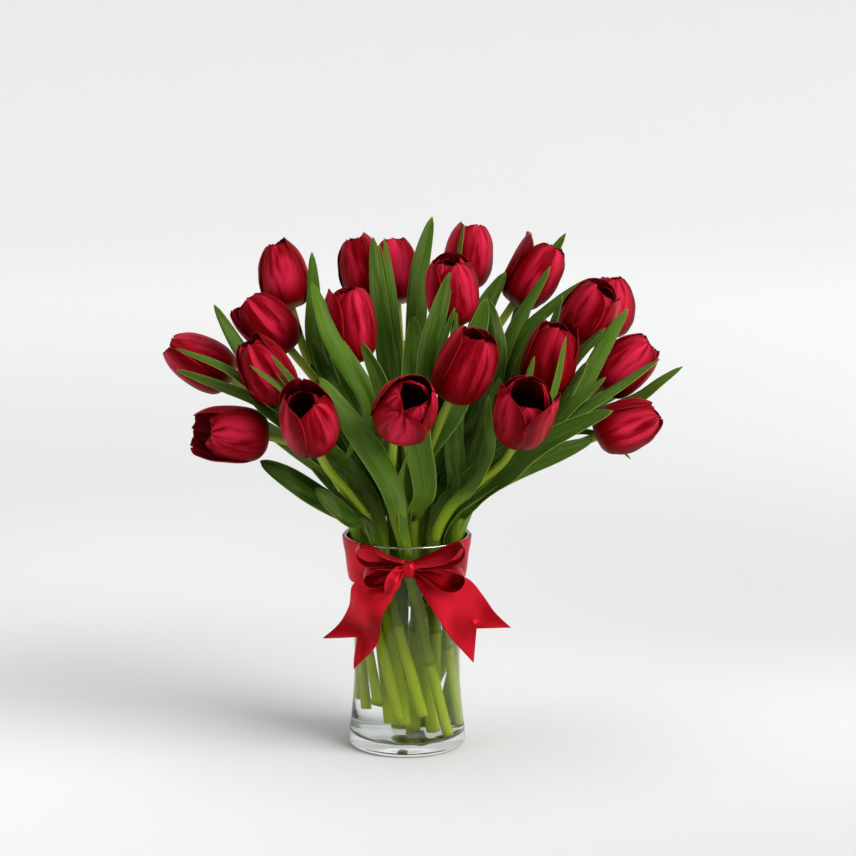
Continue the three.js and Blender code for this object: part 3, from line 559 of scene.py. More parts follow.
class Value:
    """A socket of a material's node tree. Operators on it add Math nodes."""

    def __init__(self, shader, socket):
        self.shader = shader
        self.socket = socket

    def math(self, operation, *others, swap=False):
        """A Math node on this value and the others, which come first where they are swapped."""
        terms = (*others, self) if swap else (self, *others)
        return self.shader.node("ShaderNodeMath", {"operation": operation}, dict(enumerate(terms)))

    def __add__(self, other):
        return self.math("ADD", other)

    def __radd__(self, other):
        return self.math("ADD", other)

    def __sub__(self, other):
        return self.math("SUBTRACT", other)

    def __rsub__(self, other):
        return self.math("SUBTRACT", other, swap=True)

    def __mul__(self, other):
        return self.math("MULTIPLY", other)

    def __rmul__(self, other):
        return self.math("MULTIPLY", other)

    def __abs__(self):
        return self.math("ABSOLUTE")

    def ramp(self, low, high):
        """0 at low and 1 at high, with a smooth way between them."""
        inputs = {"Value": self, "From Min": low, "From Max": high}
        return self.shader.node("ShaderNodeMapRange", {"interpolation_type": "SMOOTHSTEP"}, inputs)


class Shader:
    """A material with one Principled BSDF, whose constant sockets are set at once."""

    def __init__(self, name, **constants):
        self.material = bpy.data.materials.new(name)
        self.material.use_nodes = True
        self.tree = self.material.node_tree
        self.surface = self.tree.nodes["Principled BSDF"]
        for key, value in constants.items():
            self.surface.inputs[key.replace("_", " ")].default_value = value

    def node(self, kind, settings=None, inputs=None, output=0):
        """Any node: its settings come first, then the values or links of its sockets."""
        made = self.tree.nodes.new(kind)
        for key, value in (settings or {}).items():
            setattr(made, key, value)
        for key, value in (inputs or {}).items():
            if isinstance(value, Value):
                self.tree.links.new(value.socket, made.inputs[key])
            else:
                made.inputs[key].default_value = value
        return Value(self, made.outputs[output])

    def uv(self):
        """How far across the surface a point is, from 0 to 1, and how far along it."""
        vector = self.node("ShaderNodeUVMap", {"uv_map": "surface"})
        across = self.node("ShaderNodeSeparateXYZ", {}, {0: vector}, 0)
        along = self.node("ShaderNodeSeparateXYZ", {}, {0: vector}, 1)
        return across, along

    def place(self):
        """The point's place on the object, in metres."""
        return self.node("ShaderNodeTexCoord", {}, {}, 3)

    def field(self, name):
        """A number that the mesh carries under that name."""
        return self.node("ShaderNodeAttribute", {"attribute_name": name}, {}, 2)

    def vector(self, x, y, z):
        """A vector of three values."""
        return self.node("ShaderNodeCombineXYZ", {}, {0: x, 1: y, 2: z})

    def noise(self, vector, scale, detail=3.0, roughness=0.55):
        """Smooth noise round one half."""
        inputs = {"Vector": vector, "Scale": scale, "Detail": detail, "Roughness": roughness}
        return self.node("ShaderNodeTexNoise", {}, inputs)

    def mix(self, factor, first, second):
        """A colour between two colours, each three numbers or a Value."""
        pair = [c if isinstance(c, Value) else (*c, 1.0) for c in (first, second)]
        inputs = {0: factor, 6: pair[0], 7: pair[1]}
        return self.node("ShaderNodeMix", {"data_type": "RGBA"}, inputs, 2)

    def finish(self, colour, roughness, height=None, depth=0.0002, strength=0.5, **more):
        """Links the colour, the roughness, a bump of that height and more values to the surface."""
        links = {"Base Color": colour, "Roughness": roughness, **more}
        if height is not None:
            inputs = {"Height": height, "Distance": depth, "Strength": strength}
            links["Normal"] = self.node("ShaderNodeBump", {}, inputs)
        for key, value in links.items():
            self.tree.links.new(value.socket, self.surface.inputs[key.replace("_", " ")])
        return self.material


def petal_material():
    """Crimson silk: fine streaks along the petal, a painted pink highlight down its middle, painted shade
    towards its sides and its foot, light rims that are partly its own paler edge and partly painted light, a
    pale foot, and an inside that darkens towards its foot, partly its own maroon and partly painted shade."""
    m = Shader("crimson petal", IOR=1.4, Specular_IOR_Level=0.12, Specular_Tint=(1.0, 0.15, 0.4, 1.0))
    across, along = m.uv()
    inner, tone, pale = m.field("inner"), m.field("tone"), m.field("pale")
    off = abs(across * 2 - 1)
    fine = m.noise(m.vector(across * 46, along * 1.7, tone * 31), 1.0, 4.0, 0.65)
    broad = m.noise(m.vector(across * 6, along * 1.5, tone * 57), 1.0, 2.0)
    colour = m.mix(fine.ramp(0.34, 0.66), *PETAL_STREAKS)
    # Painted highlight: a broad pink sheen down the petal's middle, stronger on lighter blooms.
    painted_highlight = broad.ramp(0.35, 0.65) * (1 - off.ramp(0.2, 0.9)) * along.ramp(0.15, 0.55)
    colour = m.mix(painted_highlight * (tone + 0.28), colour, PETAL_PAINTED_HIGHLIGHT)
    # Painted shade: darker towards the petal's sides and towards its foot.
    shade = off.ramp(0.45, 1.0) * 0.45 + (1 - along.ramp(0.0, 0.45)) * 0.4
    colour = m.mix(shade * (1.45 - tone), colour, PETAL_PAINTED_SHADE)
    # Light rims: partly the petal's own paler edge, partly painted light where the thin edge lets light
    # through.
    rim = off.ramp(0.94, 1.0) * along.ramp(0.3, 0.6)
    colour = m.mix(rim * 0.5, colour, PETAL_RIM_AND_PAINTED_LIGHT)
    foot = (1 - along.ramp(0.02, 0.12 + fine * 0.12)) * pale * (1 - inner)
    colour = m.mix(foot, colour, PETAL_FOOT)
    # Darker inside towards the foot: partly the inside's own maroon, partly painted shade deep in the cup.
    depth = inner * (1 - along.ramp(0.3, 1.0) * 0.75)
    colour = m.mix(depth, colour, PETAL_MAROON_AND_SHADE)
    return m.finish(colour, 0.34 + fine * 0.2, fine * 0.8 + broad * 0.6, 0.0007, 0.55)


def leaf_material():
    """Waxy green: parallel veins, a grey bloom in patches, thin light edges that are partly a paler margin
    and partly painted light, and a pale sheath.
    """
    m = Shader("waxy tulip leaf", IOR=1.4, Specular_IOR_Level=0.2, Specular_Tint=(0.75, 1.0, 0.2, 1.0))
    across, along = m.uv()
    inner, tone = m.field("inner"), m.field("tone")
    off = abs(across * 2 - 1)
    fine = m.noise(m.vector(across * 34, along * 2.2, tone * 43), 1.0, 3.0, 0.6)
    patch = m.noise(m.vector(across * 3, along * 5, tone * 19), 1.0, 3.0)
    vein = fine.ramp(0.36, 0.64)
    dark = m.mix(vein, *LEAF_DARK_VEINS)
    light = m.mix(vein, *LEAF_LIGHT_VEINS)
    colour = m.mix(tone * 0.85 + patch * 0.25 - 0.05, dark, light)
    wax = patch.ramp(0.38, 0.62) * (0.35 + inner * 0.25) * along.ramp(0.1, 0.3)
    colour = m.mix(wax, colour, LEAF_WAX)
    rib = (1 - off.ramp(0.0, 0.1)) * (1 - along) * 0.35
    colour = m.mix(rib, colour, LEAF_RIB)
    # Light edges: partly the leaf's own paler margin, partly painted light where the thin edge lets light
    # through.
    edge = off.ramp(0.93, 0.985) * along.ramp(0.2, 0.4)
    colour = m.mix(edge * 0.8, colour, LEAF_EDGE_AND_PAINTED_LIGHT)
    colour = m.mix((1 - along.ramp(0.05, 0.45)) * 0.8, colour, LEAF_FOOT)
    return m.finish(colour, 0.34 + patch * 0.24, vein * 0.7 + fine * 0.5, 0.0005, 0.4)


def stem_material():
    """Fresh green stem: lengthwise streaks and mottling, a dark scar at its joint, a lighter green towards
    the bloom, and a bright lime low down, which is painted light on the part inside the vase and lighter
    still below the joint."""
    m = Shader("tulip stem", IOR=1.4, Specular_IOR_Level=0.3, Specular_Tint=(0.9, 1.0, 0.4, 1.0))
    across, along = m.uv()
    tone, joint = m.field("tone"), m.field("joint")
    streak = m.noise(m.vector(across * 12, along * 5, tone * 37), 1.0, 3.0, 0.6)
    mottle = m.noise(m.place(), 90.0, 3.0)
    colour = m.mix(streak.ramp(0.35, 0.65), *STEM_STREAKS)
    colour = m.mix(mottle.ramp(0.45, 0.7) * 0.5, colour, STEM_MOTTLE)
    # Bright lime low down: painted light on the part that stands in the vase, lighter still below the joint.
    below = 1 - (along - joint).ramp(-0.004, 0.006)
    low = (1 - along.ramp(0.1, 0.4)) * 0.5 + below * 0.3
    colour = m.mix(low, colour, STEM_LOW_PAINTED_LIGHT)
    scar = 1 - abs(along - joint).ramp(0.0, 0.010)
    colour = m.mix(scar * 0.6, colour, STEM_SCAR)
    colour = m.mix(along.ramp(0.86, 1.0) * 0.5, colour, STEM_TOP)
    return m.finish(colour, 0.34 + mottle * 0.16, streak, 0.0003, 0.35)


def cut_material():
    """The pale, moist pith of a cut end."""
    m = Shader("cut stem end")
    grain = m.noise(m.place(), 900.0, 2.0)
    return m.finish(m.mix(grain, *CUT_PITH), 0.3 + grain * 0.1, grain)


def pistil_material():
    """The pale green of a pistil, and of the threads round it."""
    m = Shader("pistil")
    grain = m.noise(m.place(), 500.0, 2.0)
    return m.finish(m.mix(grain, *PISTIL_GREEN), 0.45 + grain * 0.1, grain)


def anther_material():
    """Anthers thick with dark purple pollen."""
    m = Shader("anther")
    grain = m.noise(m.place(), 1800.0, 3.0)
    colour = m.mix(grain, *POLLEN)
    return m.finish(colour, 0.7 + grain * 0.2, grain, 0.0003, 1.0)


def glass_material():
    """Clear pressed glass with the faint waves of its mould, and a painted highlight on its rim, which is
    made partly metallic so that it shines.
    """
    m = Shader("clear glass", Transmission_Weight=1.0, IOR=1.5, Specular_Tint=(0.25, 0.25, 0.25, 1.0))
    wave = m.noise(m.place(), 26.0, 1.0)
    colour = m.mix(wave, *GLASS_TINT)
    # Painted highlight: the rim is made partly metallic and a little rougher so that it shines.
    rim = m.uv()[1].ramp(0.992, 0.998)
    return m.finish(colour, wave * 0.004 + rim * 0.1, wave, 0.0004, 0.10, Metallic=rim * 0.6)


def water_material():
    """Clear water with a very slight tint and a still surface."""
    m = Shader("water", Transmission_Weight=1.0, IOR=1.333, Specular_Tint=(0.15, 0.15, 0.15, 1.0))
    wave = m.noise(m.place(), 14.0, 1.0)
    colour = m.mix(wave, *WATER_TINT)
    return m.finish(colour, wave * 0.003, wave, 0.0003, 0.08)


def satin_material():
    """Red satin: a smooth, deep shine over a weave too fine to see, a painted sheen in broad light and dark
    patches, a firm selvedge, and painted shade on its inner side.
    """
    m = Shader("red satin", Metallic=0.55, Specular_IOR_Level=0.2, Specular_Tint=(1.0, 0.25, 0.4, 1.0))
    across, along = m.uv()
    inner = m.field("inner")
    weave = m.noise(m.vector(across * 300, along * 300, 0.0), 1.0, 2.0)
    # Painted sheen: broad light and dark patches stand in for the satin's sheen and its shaded folds.
    painted_sheen = m.noise(m.vector(across * 1.6, along * 1.1, 3.0), 1.0, 0.0)
    selvedge = abs(across * 2 - 1).ramp(0.95, 0.99)
    colour = m.mix(painted_sheen.ramp(0.3, 0.7), *SATIN_PAINTED_SHEEN)
    colour = m.mix(selvedge * 0.4, colour, SATIN_SELVEDGE)
    # Painted shade on the ribbon's inner side, such as the insides of the loops.
    colour = m.mix(inner * 0.8, colour, SATIN_PAINTED_SHADE_INSIDE)
    return m.finish(colour, 0.26 + painted_sheen * 0.08, weave, 0.00004, 0.2)


def stage_material():
    """Pale paper, with painted shade that darkens it in front and in a band behind the object, and painted
    light that lightens it at its left. It glows past the softboxes' reach, more the further from the middle,
    and most behind the object."""
    m = Shader("pale studio paper", Specular_IOR_Level=0.2, Emission_Strength=1.0)
    place = m.place()
    across, depth, height = (m.node("ShaderNodeSeparateXYZ", {}, {0: place}, k) for k in range(3))
    away = m.node("ShaderNodeVectorMath", {"operation": "LENGTH"}, {0: place}, 1)
    grain = m.noise(place, 3.0, 2.0)
    left = 1 - across.ramp(-0.55, 0.55)
    # Painted shade: the paper is darker towards the front.
    colour = m.mix(depth.ramp(-0.5, 0.1), *PAPER_PAINTED_SHADE_FRONT_TO_BACK)
    # Painted light: lighter at the left near the object, against the bouquet's shadow there.
    colour = m.mix(left * 0.6 * (1 - away.ramp(0.5, 1.2)), colour, PAPER_PAINTED_LIGHT_LEFT)
    # Painted shade: a darker band on the floor behind the object, less of it at the left.
    shade = depth.ramp(0.1, 0.4) * (1 - depth.ramp(0.5, 1.4))
    colour = m.mix(shade * (0.5 - left * 0.5), colour, PAPER_SHADED)
    glow = away.ramp(0.2, 2.9) * (0.37 - height.ramp(0.0, 2.0) * 0.20) * depth.ramp(-5.0, 0.8)
    glow = m.mix(glow, NO_GLOW, FULL_GLOW)
    return m.finish(colour, 0.75 + grain * 0.1, Emission_Color=glow)


PETAL = petal_material()
LEAF = leaf_material()
STEM = stem_material()
CUT = cut_material()
PISTIL = pistil_material()
ANTHER = anther_material()
GLASS = glass_material()
WATER = water_material()
SATIN = satin_material()


# Places from the frame


def node_corners(node):
    """A node's mesh, its corners in millimetres, each once, and which of them each vertex is."""
    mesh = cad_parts[node].data
    places = np.empty(len(mesh.vertices) * 3, np.float32)
    mesh.vertices.foreach_get("co", places)
    corners, same = np.unique(np.round(places.reshape(-1, 3) / MM, 2), axis=0, return_inverse=True)
    return mesh, corners, same.reshape(-1)


def rings(node, count):
    """The rings of corners that a node is made of, from its foot. They are found from its tip, the corner
    furthest from the lowest: each ring holds the corners that share an edge with the ring before."""
    mesh, corners, same = node_corners(node)
    edges = np.empty(len(mesh.edges) * 2, int)
    mesh.edges.foreach_get("vertices", edges)
    joined = np.zeros((len(corners), len(corners)), bool)
    first, second = same[edges.reshape(-1, 2)].T
    joined[first, second] = joined[second, first] = True
    lowest = corners[corners[:, 2].argmin()]
    tip = corners[np.linalg.norm(corners - lowest, axis=1).argmax()]
    ring = np.linalg.norm(corners - tip, axis=1).argsort()[:count]
    left = np.ones(len(corners), bool)
    found = []
    while len(ring):
        left[ring] = False
        found.append(corners[ring])
        ring = np.flatnonzero(joined[ring].any(axis=0) & left)
    return found[::-1]


def stem_line(number):
    """The middle of each of a stem's rings, from its cut end."""
    return np.array([ring.mean(axis=0) for ring in rings(f"stem_{number:02d}", STEM_CORNERS)])


STEM_LINES = {number: stem_line(number) for number in TULIPS}


# Stems and blooms


def add_stem(number):
    """A tube along the stem's line, whose radius swells in a bell curve at the joint where a leaf once grew,
    steps up below it and waves slowly. A flat round face closes its cut end."""
    line = STEM_LINES[number]
    top = line[-1] + unit(line[-1] - line[-2]) * STEM_INTO_BLOOM
    path = smooth(np.vstack([line, top]), STEM_ROWS)
    share = np.linspace(0, 1, STEM_ROWS)
    at = lengths(path)
    joint = JOINT_LOWEST + (number * 37 % JOINT_RANGE)
    radius = keyed(STEM_RADIUS, share) + JOINT_SWELL * np.exp(-(((at - joint) / JOINT_SPAN) ** 2))
    radius = radius + JOINT_STEP * (1 - smoothstep(at, joint - 1.0, joint + 2.5))
    radius = radius + STEM_WAVE * np.sin(at / STEM_WAVE_LENGTH + number)
    bar = tube(path, radius, STEM_COLUMNS, last_cap=0.5)
    face = path[0] - unit(path[1] - path[0]) * np.array(CUT_STANDS_OUT)
    cut = {**tube(face, radius[0] * CUT_SHARE, STEM_COLUMNS), "material": 1}
    node = [f"stem_{number:02d}"]
    fields = {"tone": number * 0.37 % 1.0, "joint": float(np.interp(joint, at, share))}
    add_piece(f"tulip_stem_{number:02d}", [bar, cut], [STEM, CUT], "stem", node, **fields)


def petal(place, turn, share_open, flare, tall, kind, seed):
    """One petal. Along it, share s, the meridian gives the distance from the bloom's axis and the height, as
    a mix of the shut and the open curve. Across it, u from -1 to 1, it turns about the axis by u times its
    half width over that distance. Its edges stand proud or tuck in, one edge lies over its neighbour, its
    middle has a crease, it ripples a little, and its top is uneven."""
    foot, axis, front, side, length, radius = place
    s = crowded(PETAL_ROWS)[:, None]
    u = np.linspace(-1, 1, PETAL_COLUMNS)[None]
    shut = keyed(SHUT_RADIUS, s[:, 0])[:, None]
    wide = keyed(OPEN_RADIUS, s[:, 0])[:, None]
    away = shut + (wide - shut) * share_open + flare * s**3
    half = np.minimum(keyed(PETAL_WIDTH, s[:, 0])[:, None] * kind["width"] / away, WIDEST_TURN)
    proud = kind["proud"] * np.abs(u) ** 2.4 * smoothstep(s, 0.1, 0.45)
    overlap = kind["overlap"] * u * smoothstep(s, 0.1, 0.4)
    crease = -CREASE * np.exp(-((u / 0.09) ** 2)) * np.sin(PI * s) ** 0.7
    ripple = RIPPLE * np.sin(u * 9 + seed * 2.1) * smoothstep(s, 0.2, 0.7)
    ruffle = RUFFLE * np.abs(u) ** 3 * np.sin(s * 17 + seed * 1.7) * smoothstep(s, 0.3, 0.8)
    dent = UNEVEN_TOP * np.sin(u * 3.4 + seed * 2.7) * (1 - np.abs(u)) * smoothstep(s, 0.55, 0.9)
    reach = radius * kind["radius"] * away * (1 + proud + overlap + crease + ripple + ruffle)
    angle = np.radians(turn) + u * half
    tall = tall * length * kind["length"] * (1 + 0.03 * np.sin(seed * 3.3))
    height = tall * (keyed(PETAL_HEIGHT, s[:, 0])[:, None] * (1 - 0.03 * flare) + dent)
    grid = foot + height[..., None] * axis
    grid = grid + (reach * np.cos(angle))[..., None] * front + (reach * np.sin(angle))[..., None] * side
    thickness = 0.75 - 0.4 * np.maximum(np.abs(u), s**4)
    return shell(grid, thickness, (u + 1) / 2, s)


def bloom_heart(place):
    """The pistil, a stout column that widens at its head, and six stamens round it with long dark anthers."""
    foot, axis, front, side, length, _ = place
    rise = np.linspace(0, 1, HEART_ROWS)
    column = foot + (HEART_FOOT + rise[:, None] * PISTIL_LENGTH * length) * axis
    parts = [{**tube(column, keyed(PISTIL_RADIUS, rise), 9, last_cap=0.8), "material": 1}]
    for turn in np.arange(6) * PI / 3:
        out = np.cos(turn) * front + np.sin(turn) * side
        thread = foot + (HEART_FOOT + rise[:, None] * THREAD_LENGTH * length) * axis
        thread = thread + (2.5 + rise[:, None] * 3.5) * out
        anther = thread[-1] + rise[:, None] * (ANTHER_LENGTH * length * axis + 1.2 * out)
        parts.append({**tube(thread, THREAD_RADIUS, 6), "material": 1})
        parts.append({**tube(anther, keyed(ANTHER_RADIUS, rise), 8, 0.3, 0.3), "material": 2})
    return parts


def bloom_place(number):
    """Where a bloom is: its foot, axis, the directions square to it to the front and to the side, its length
    and its radius."""
    _, corners, _ = node_corners(f"bloom_{number:02d}")
    top = STEM_LINES[number][-1]
    foot = corners[np.linalg.norm(corners - top, axis=1).argmin()]
    axis = unit(corners.mean(axis=0) - foot)
    away = corners - foot
    height = away @ axis
    radius = np.linalg.norm(away - height[:, None] * axis, axis=1).max()
    front = unit(np.array([0.0, -1.0, 0.0]) + axis[1] * axis)
    return foot, axis, front, np.cross(axis, front), height.max(), radius


def add_bloom(number):
    """Three outer and three inner petals on one foot, with the heart inside."""
    look = BLOOMS[number - 1]
    place = bloom_place(number)
    flare = look.get("flare", (0, 0, 0))
    tall = look.get("tall", (1, 1, 1, 1, 1, 1))
    parts = []
    for k in range(3):
        seed = number * 1.3 + k
        turn = look["turn"] + 120 * k
        parts.append(petal(place, turn, look["open"], flare[k], tall[k], OUTER_PETAL, seed))
        parts.append(petal(place, turn + 60, look["cup"], 0.0, tall[3 + k], INNER_PETAL, seed + 0.5))
    parts += bloom_heart(place)
    name = f"tulip_bloom_{number:02d}"
    values = {"tone": look["tone"], "pale": look["pale"]}
    add_piece(name, parts, [PETAL, PISTIL, ANTHER], "bloom", [f"bloom_{number:02d}"], **values)


# Leaves


def with_sheath(line, across, stem):
    """A leaf's midrib and widths with its sheath added below: places down its stem, on the side where its
    root stands. Also gives the sheath's share of the whole length and the way from the midrib to the stem."""
    path = smooth(STEM_LINES[stem], SHEATH_STEM_PLACES)
    at = lengths(path)
    rise = unit(np.gradient(path, axis=0))
    root = np.linalg.norm(path - line[0], axis=1).argmin()
    below = [np.searchsorted(at, at[root] - length) for length in SHEATH_LENGTHS]
    away = line[0] - path[root]
    out = unit(away - (rise[below] @ away)[:, None] * rise[below])
    wide = np.cross(rise[below], out)
    wide = wide * np.sign(wide[-1] @ across[0])
    longer = np.vstack([path[below] + out * SHEATH_OFFSET, line])
    total = lengths(longer)
    return longer, np.vstack([wide, across]), total[len(below)] / total[-1], -out[0]


def leaf_shell(line, across, sheath, hollow, width, wave, seed):
    """A leaf about its midrib. At each point of the midrib its section is an arc of the leaf's width, rolled
    towards the hollow side: tight round the stem in its sheath and nearly flat higher up. Its edges wave."""
    middle = smooth(line, LEAF_ROWS)
    share = np.linspace(0, 1, LEAF_ROWS)
    blade = np.maximum(share - sheath, 0) / (1 - sheath)
    along = unit(np.gradient(middle, axis=0))
    at = lengths(line)
    side = hermite(at / at[-1], across, share)
    side = unit(side - (side * along).sum(axis=1, keepdims=True) * along)
    inward = np.cross(along, side)
    if inward[0] @ hollow < 0:
        side, inward = -side, -inward
    half = width / 2 * keyed(LEAF_WIDTH, blade)
    clasp = min(SHEATH_HALF_WIDTH, 0.75 * width) * (0.45 + 0.55 * smoothstep(share, -0.02, 0.08))
    half = half + (clasp - half) * (1 - smoothstep(blade, 0.0, 0.2))
    roll = keyed(LEAF_ROLL, blade)[:, None]
    u = np.linspace(-1, 1, LEAF_COLUMNS)[None]
    arc = half[:, None] * u / roll
    free = smoothstep(blade, 0.1, 0.4)[:, None]
    lift = roll * (1 - np.cos(arc)) + 0.1 * half[:, None] * np.abs(u) * free
    lift = lift + wave * width * u**2 * np.sin(share * 15 + seed)[:, None] * free
    sideways = (roll * np.sin(arc))[..., None] * side[:, None]
    grid = middle[:, None] + sideways + lift[..., None] * inward[:, None]
    thickness = 0.7 - 0.4 * np.maximum(np.abs(u), share[:, None] ** 3)
    return shell(grid[:, ::-1], thickness, (u + 1) / 2, share[:, None])


def frame_leaf(number):
    """The midrib, the directions of its width and the widest width of one of the frame's leaves. Each of its
    rings has four corners, in two close pairs, one on either edge."""
    line, across, width = [], [], []
    edge = None
    for ring in rings(f"leaf_{number:02d}", LEAF_CORNERS):
        gaps = np.linalg.norm(ring - ring[0], axis=1)
        mate = gaps[1:].argmin() + 1
        pair = np.isin(np.arange(LEAF_CORNERS), (0, mate))
        left, right = ring[pair].mean(axis=0), ring[~pair].mean(axis=0)
        if edge is not None and np.linalg.norm(left - edge) > np.linalg.norm(right - edge):
            left, right = right, left
        edge = left
        line.append((left + right) / 2)
        across.append(unit(right - left))
        width.append(np.linalg.norm(right - left))
    return np.array(line), np.array(across), max(width)


def small_leaf(number, height, face, way):
    """A leaf that leaves its stem at a height, on the side of its way's first place. It turns from the stem's
    side to its own face in its lower third."""
    stem = smooth(STEM_LINES[number], SMALL_LEAF_STEM_PLACES)
    k = int(np.argmax(stem[:, 2] >= height))
    rise = unit(stem[k] - stem[k - 1])
    way = np.array(way, float)
    away = way[0] - stem[np.linalg.norm(stem - way[0], axis=1).argmin()]
    out = unit(away - (away @ rise) * rise)
    root = stem[k] + out * SHEATH_OFFSET
    line = np.vstack([root, root + rise * 0.3 * np.linalg.norm(way[0] - root), way])
    line = smooth(line, SMALL_LEAF_PLACES)
    along = unit(np.gradient(line, axis=0))
    face = unit(np.array(face, float))
    start = out if out @ face > 0 else -out
    here = start + (face - start) * smoothstep(np.linspace(0, 1, SMALL_LEAF_PLACES), 0, 0.35)[:, None]
    return line, unit(np.cross(along, here))


def clasping_leaf(number, foot, top, turn, lean):
    """A leaf that follows its stem between two heights, on the side that its turn gives, and leans out."""
    stem = smooth(STEM_LINES[number], CLASPING_STEM_PLACES)
    line = smooth(stem[(stem[:, 2] >= foot) & (stem[:, 2] <= top)], CLASPING_LEAF_PLACES)
    along = unit(np.gradient(line, axis=0))
    out = np.array([np.sin(np.radians(turn)), -np.cos(np.radians(turn)), 0.0])
    out = unit(out - (along @ out)[:, None] * along)
    share = np.linspace(0, 1, CLASPING_LEAF_PLACES)[:, None]
    return line + out * (SHEATH_OFFSET + lean * share**2), np.cross(along, out), -out[0]


def add_leaves():
    """The frame's leaves, the smaller ones between the blooms, and one that clasps each stem."""
    for number, (stem, tone, wave) in enumerate(FRAME_LEAVES, start=1):
        line, across, width = frame_leaf(number)
        patch = leaf_shell(*with_sheath(line, across, stem), width, wave, number * 1.7)
        add_piece(f"tulip_leaf_{number:02d}", [patch], [LEAF], "leaf", [f"leaf_{number:02d}"], tone=tone)
    for number, (stem, height, width, tone, face, way) in enumerate(SMALL_LEAVES, start=1):
        line, across = small_leaf(stem, height, face, way)
        patch = leaf_shell(*with_sheath(line, across, stem), width, USUAL_WAVE, number * 2.3)
        add_piece(f"small_leaf_{number:02d}", [patch], [LEAF], "leaf", tone=tone)
    for number, (foot, top, turn, lean, width, tone) in CLASPING_LEAVES.items():
        line, across, hollow = clasping_leaf(number, foot, top, turn, lean)
        sheath = CLASPING_SHEATH_SHARE
        patch = leaf_shell(line, across, sheath, hollow, width, USUAL_WAVE, number * 3.1)
        add_piece(f"clasping_leaf_{number:02d}", [patch], [LEAF], "leaf", tone=tone)


# Vase and water


def glass_radius(z):
    """The glass's outer radius at a height."""
    radius, height = np.array(VASE_SIDE, float).T
    return hermite(height, radius, np.atleast_1d(np.asarray(z, float)))


def add_vase():
    """The glass: its outer side, a rim in a half circle over the wall, its inner side one wall in, and a
    thick floor whose corner is a quarter ellipse."""
    bead = VASE_WALL / 2
    wide, high = VASE_CORNER
    up = np.concatenate([VASE_FOOT_ROWS, np.linspace(5.5, VASE_HEIGHT - bead, VASE_ROWS)])
    outside = np.stack([glass_radius(up), up], axis=1)
    turn = np.linspace(0, PI, 9)[1:-1]
    middle = glass_radius(VASE_HEIGHT)[0] - bead
    rim = np.stack([middle + bead * np.cos(turn), VASE_HEIGHT - bead + bead * np.sin(turn)], axis=1)
    down = np.linspace(VASE_HEIGHT - bead, VASE_FLOOR + high, 56)
    inside = np.stack([glass_radius(down) - VASE_WALL, down], axis=1)
    turn = np.linspace(0, PI / 2, 8)[1:]
    out = inside[-1, 0] - wide + wide * np.cos(turn)
    corner = np.stack([out, VASE_FLOOR + high - high * np.sin(turn)], axis=1)
    floor = [(radius, VASE_FLOOR + rise) for radius, rise in VASE_FLOOR_RISE]
    patch = turned(np.vstack([VASE_UNDERSIDE, outside, rim, inside, corner, floor]))
    add_piece("vase_glass", [patch], [GLASS], "vase", ["vase"])


def add_water():
    """The water: it reaches a little into the glass. Near the wall its surface climbs by a height that falls
    off as e to the power of minus the distance from the wall."""
    wide, high = VASE_CORNER
    up = np.linspace(VASE_FLOOR + high, WATER_LEVEL + MENISCUS, WATER_ROWS)
    side = np.stack([glass_radius(up) - VASE_WALL + WATER_INTO_GLASS, up], axis=1)
    turn = np.linspace(PI / 2, 0, 8)[:-1]
    out = side[0, 0] - wide + wide * np.cos(turn)
    corner = np.stack([out, VASE_FLOOR - WATER_INTO_FLOOR + high - high * np.sin(turn)], axis=1)
    floor = [(radius, VASE_FLOOR + rise) for radius, rise in WATER_FLOOR_RISE]
    back = np.array(MENISCUS_RINGS)
    climb = WATER_LEVEL + MENISCUS * np.exp(-back / MENISCUS_FADE)
    edge = np.stack([side[-1, 0] - back, climb], axis=1)
    patch = turned(np.vstack([floor, corner, side, edge, [(18, WATER_LEVEL), (0, WATER_LEVEL)]]))
    add_piece("vase_water", [patch], [WATER], "water", ["water"])


# Ribbon


def pleats(share, u, depth, count, seed):
    """Folds that run out from the knot: so many half waves across the strip, whose depth fades as e to the
    power of minus 4.5 times the share from the knot."""
    return depth * np.exp(-share * 4.5) * np.sin(u * PI * count + seed + share * 1.5)


def spread(left, right, reach, u):
    """Points between two edges: at a share of the way along both, and a share of the way across. Also gives
    the strip's normals."""
    edges = [smooth(edge, EDGE_PLACES) for edge in (left, right)]
    at = np.linspace(0, 1, EDGE_PLACES)
    a, b = (np.stack([np.interp(reach, at, edge[:, k]) for k in range(3)], axis=-1) for edge in edges)
    grid = a + (b - a) * u[..., None]
    return grid, unit(np.cross(np.gradient(grid, axis=1), np.gradient(grid, axis=0)))


def band():
    """The strip round the glass: it lies on the glass, lower at the back, narrows to the knot, and is pleated
    near it."""
    turn = np.linspace(*BAND_ENDS, BAND_ROWS)[:, None]
    u = np.linspace(-1, 1, RIBBON_COLUMNS)[None]
    off = np.minimum(turn, 360 - turn)
    half = BAND_HALF_AT_KNOT + (BAND_HALF - BAND_HALF_AT_KNOT) * smoothstep(off, *BAND_GATHER)
    sunk = smoothstep(off, *BAND_SINKS_OVER)
    z = BAND_MIDDLE - BAND_SINKS * sunk + u * (half - BAND_SINKS * sunk)
    pleat = BAND_PLEAT * np.exp(-off / BAND_PLEAT_FADE) * (1 + np.sin(u * PI * 2.6 + off / 30))
    fold = pleat + BAND_RIPPLE * (1 + np.sin(u * 5 + off / 19))
    radius = glass_radius(np.minimum(z, VASE_HEIGHT).ravel()).reshape(z.shape) + BAND_CLEAR + fold
    angle = np.radians(turn - 90)
    grid = np.stack([radius * np.cos(angle), radius * np.sin(angle), z], axis=-1)
    along = np.radians(turn) * BAND_RADIUS / RIBBON_WIDTH
    return shell(grid[:, ::-1], RIBBON_THICKNESS, (u + 1) / 2, along)


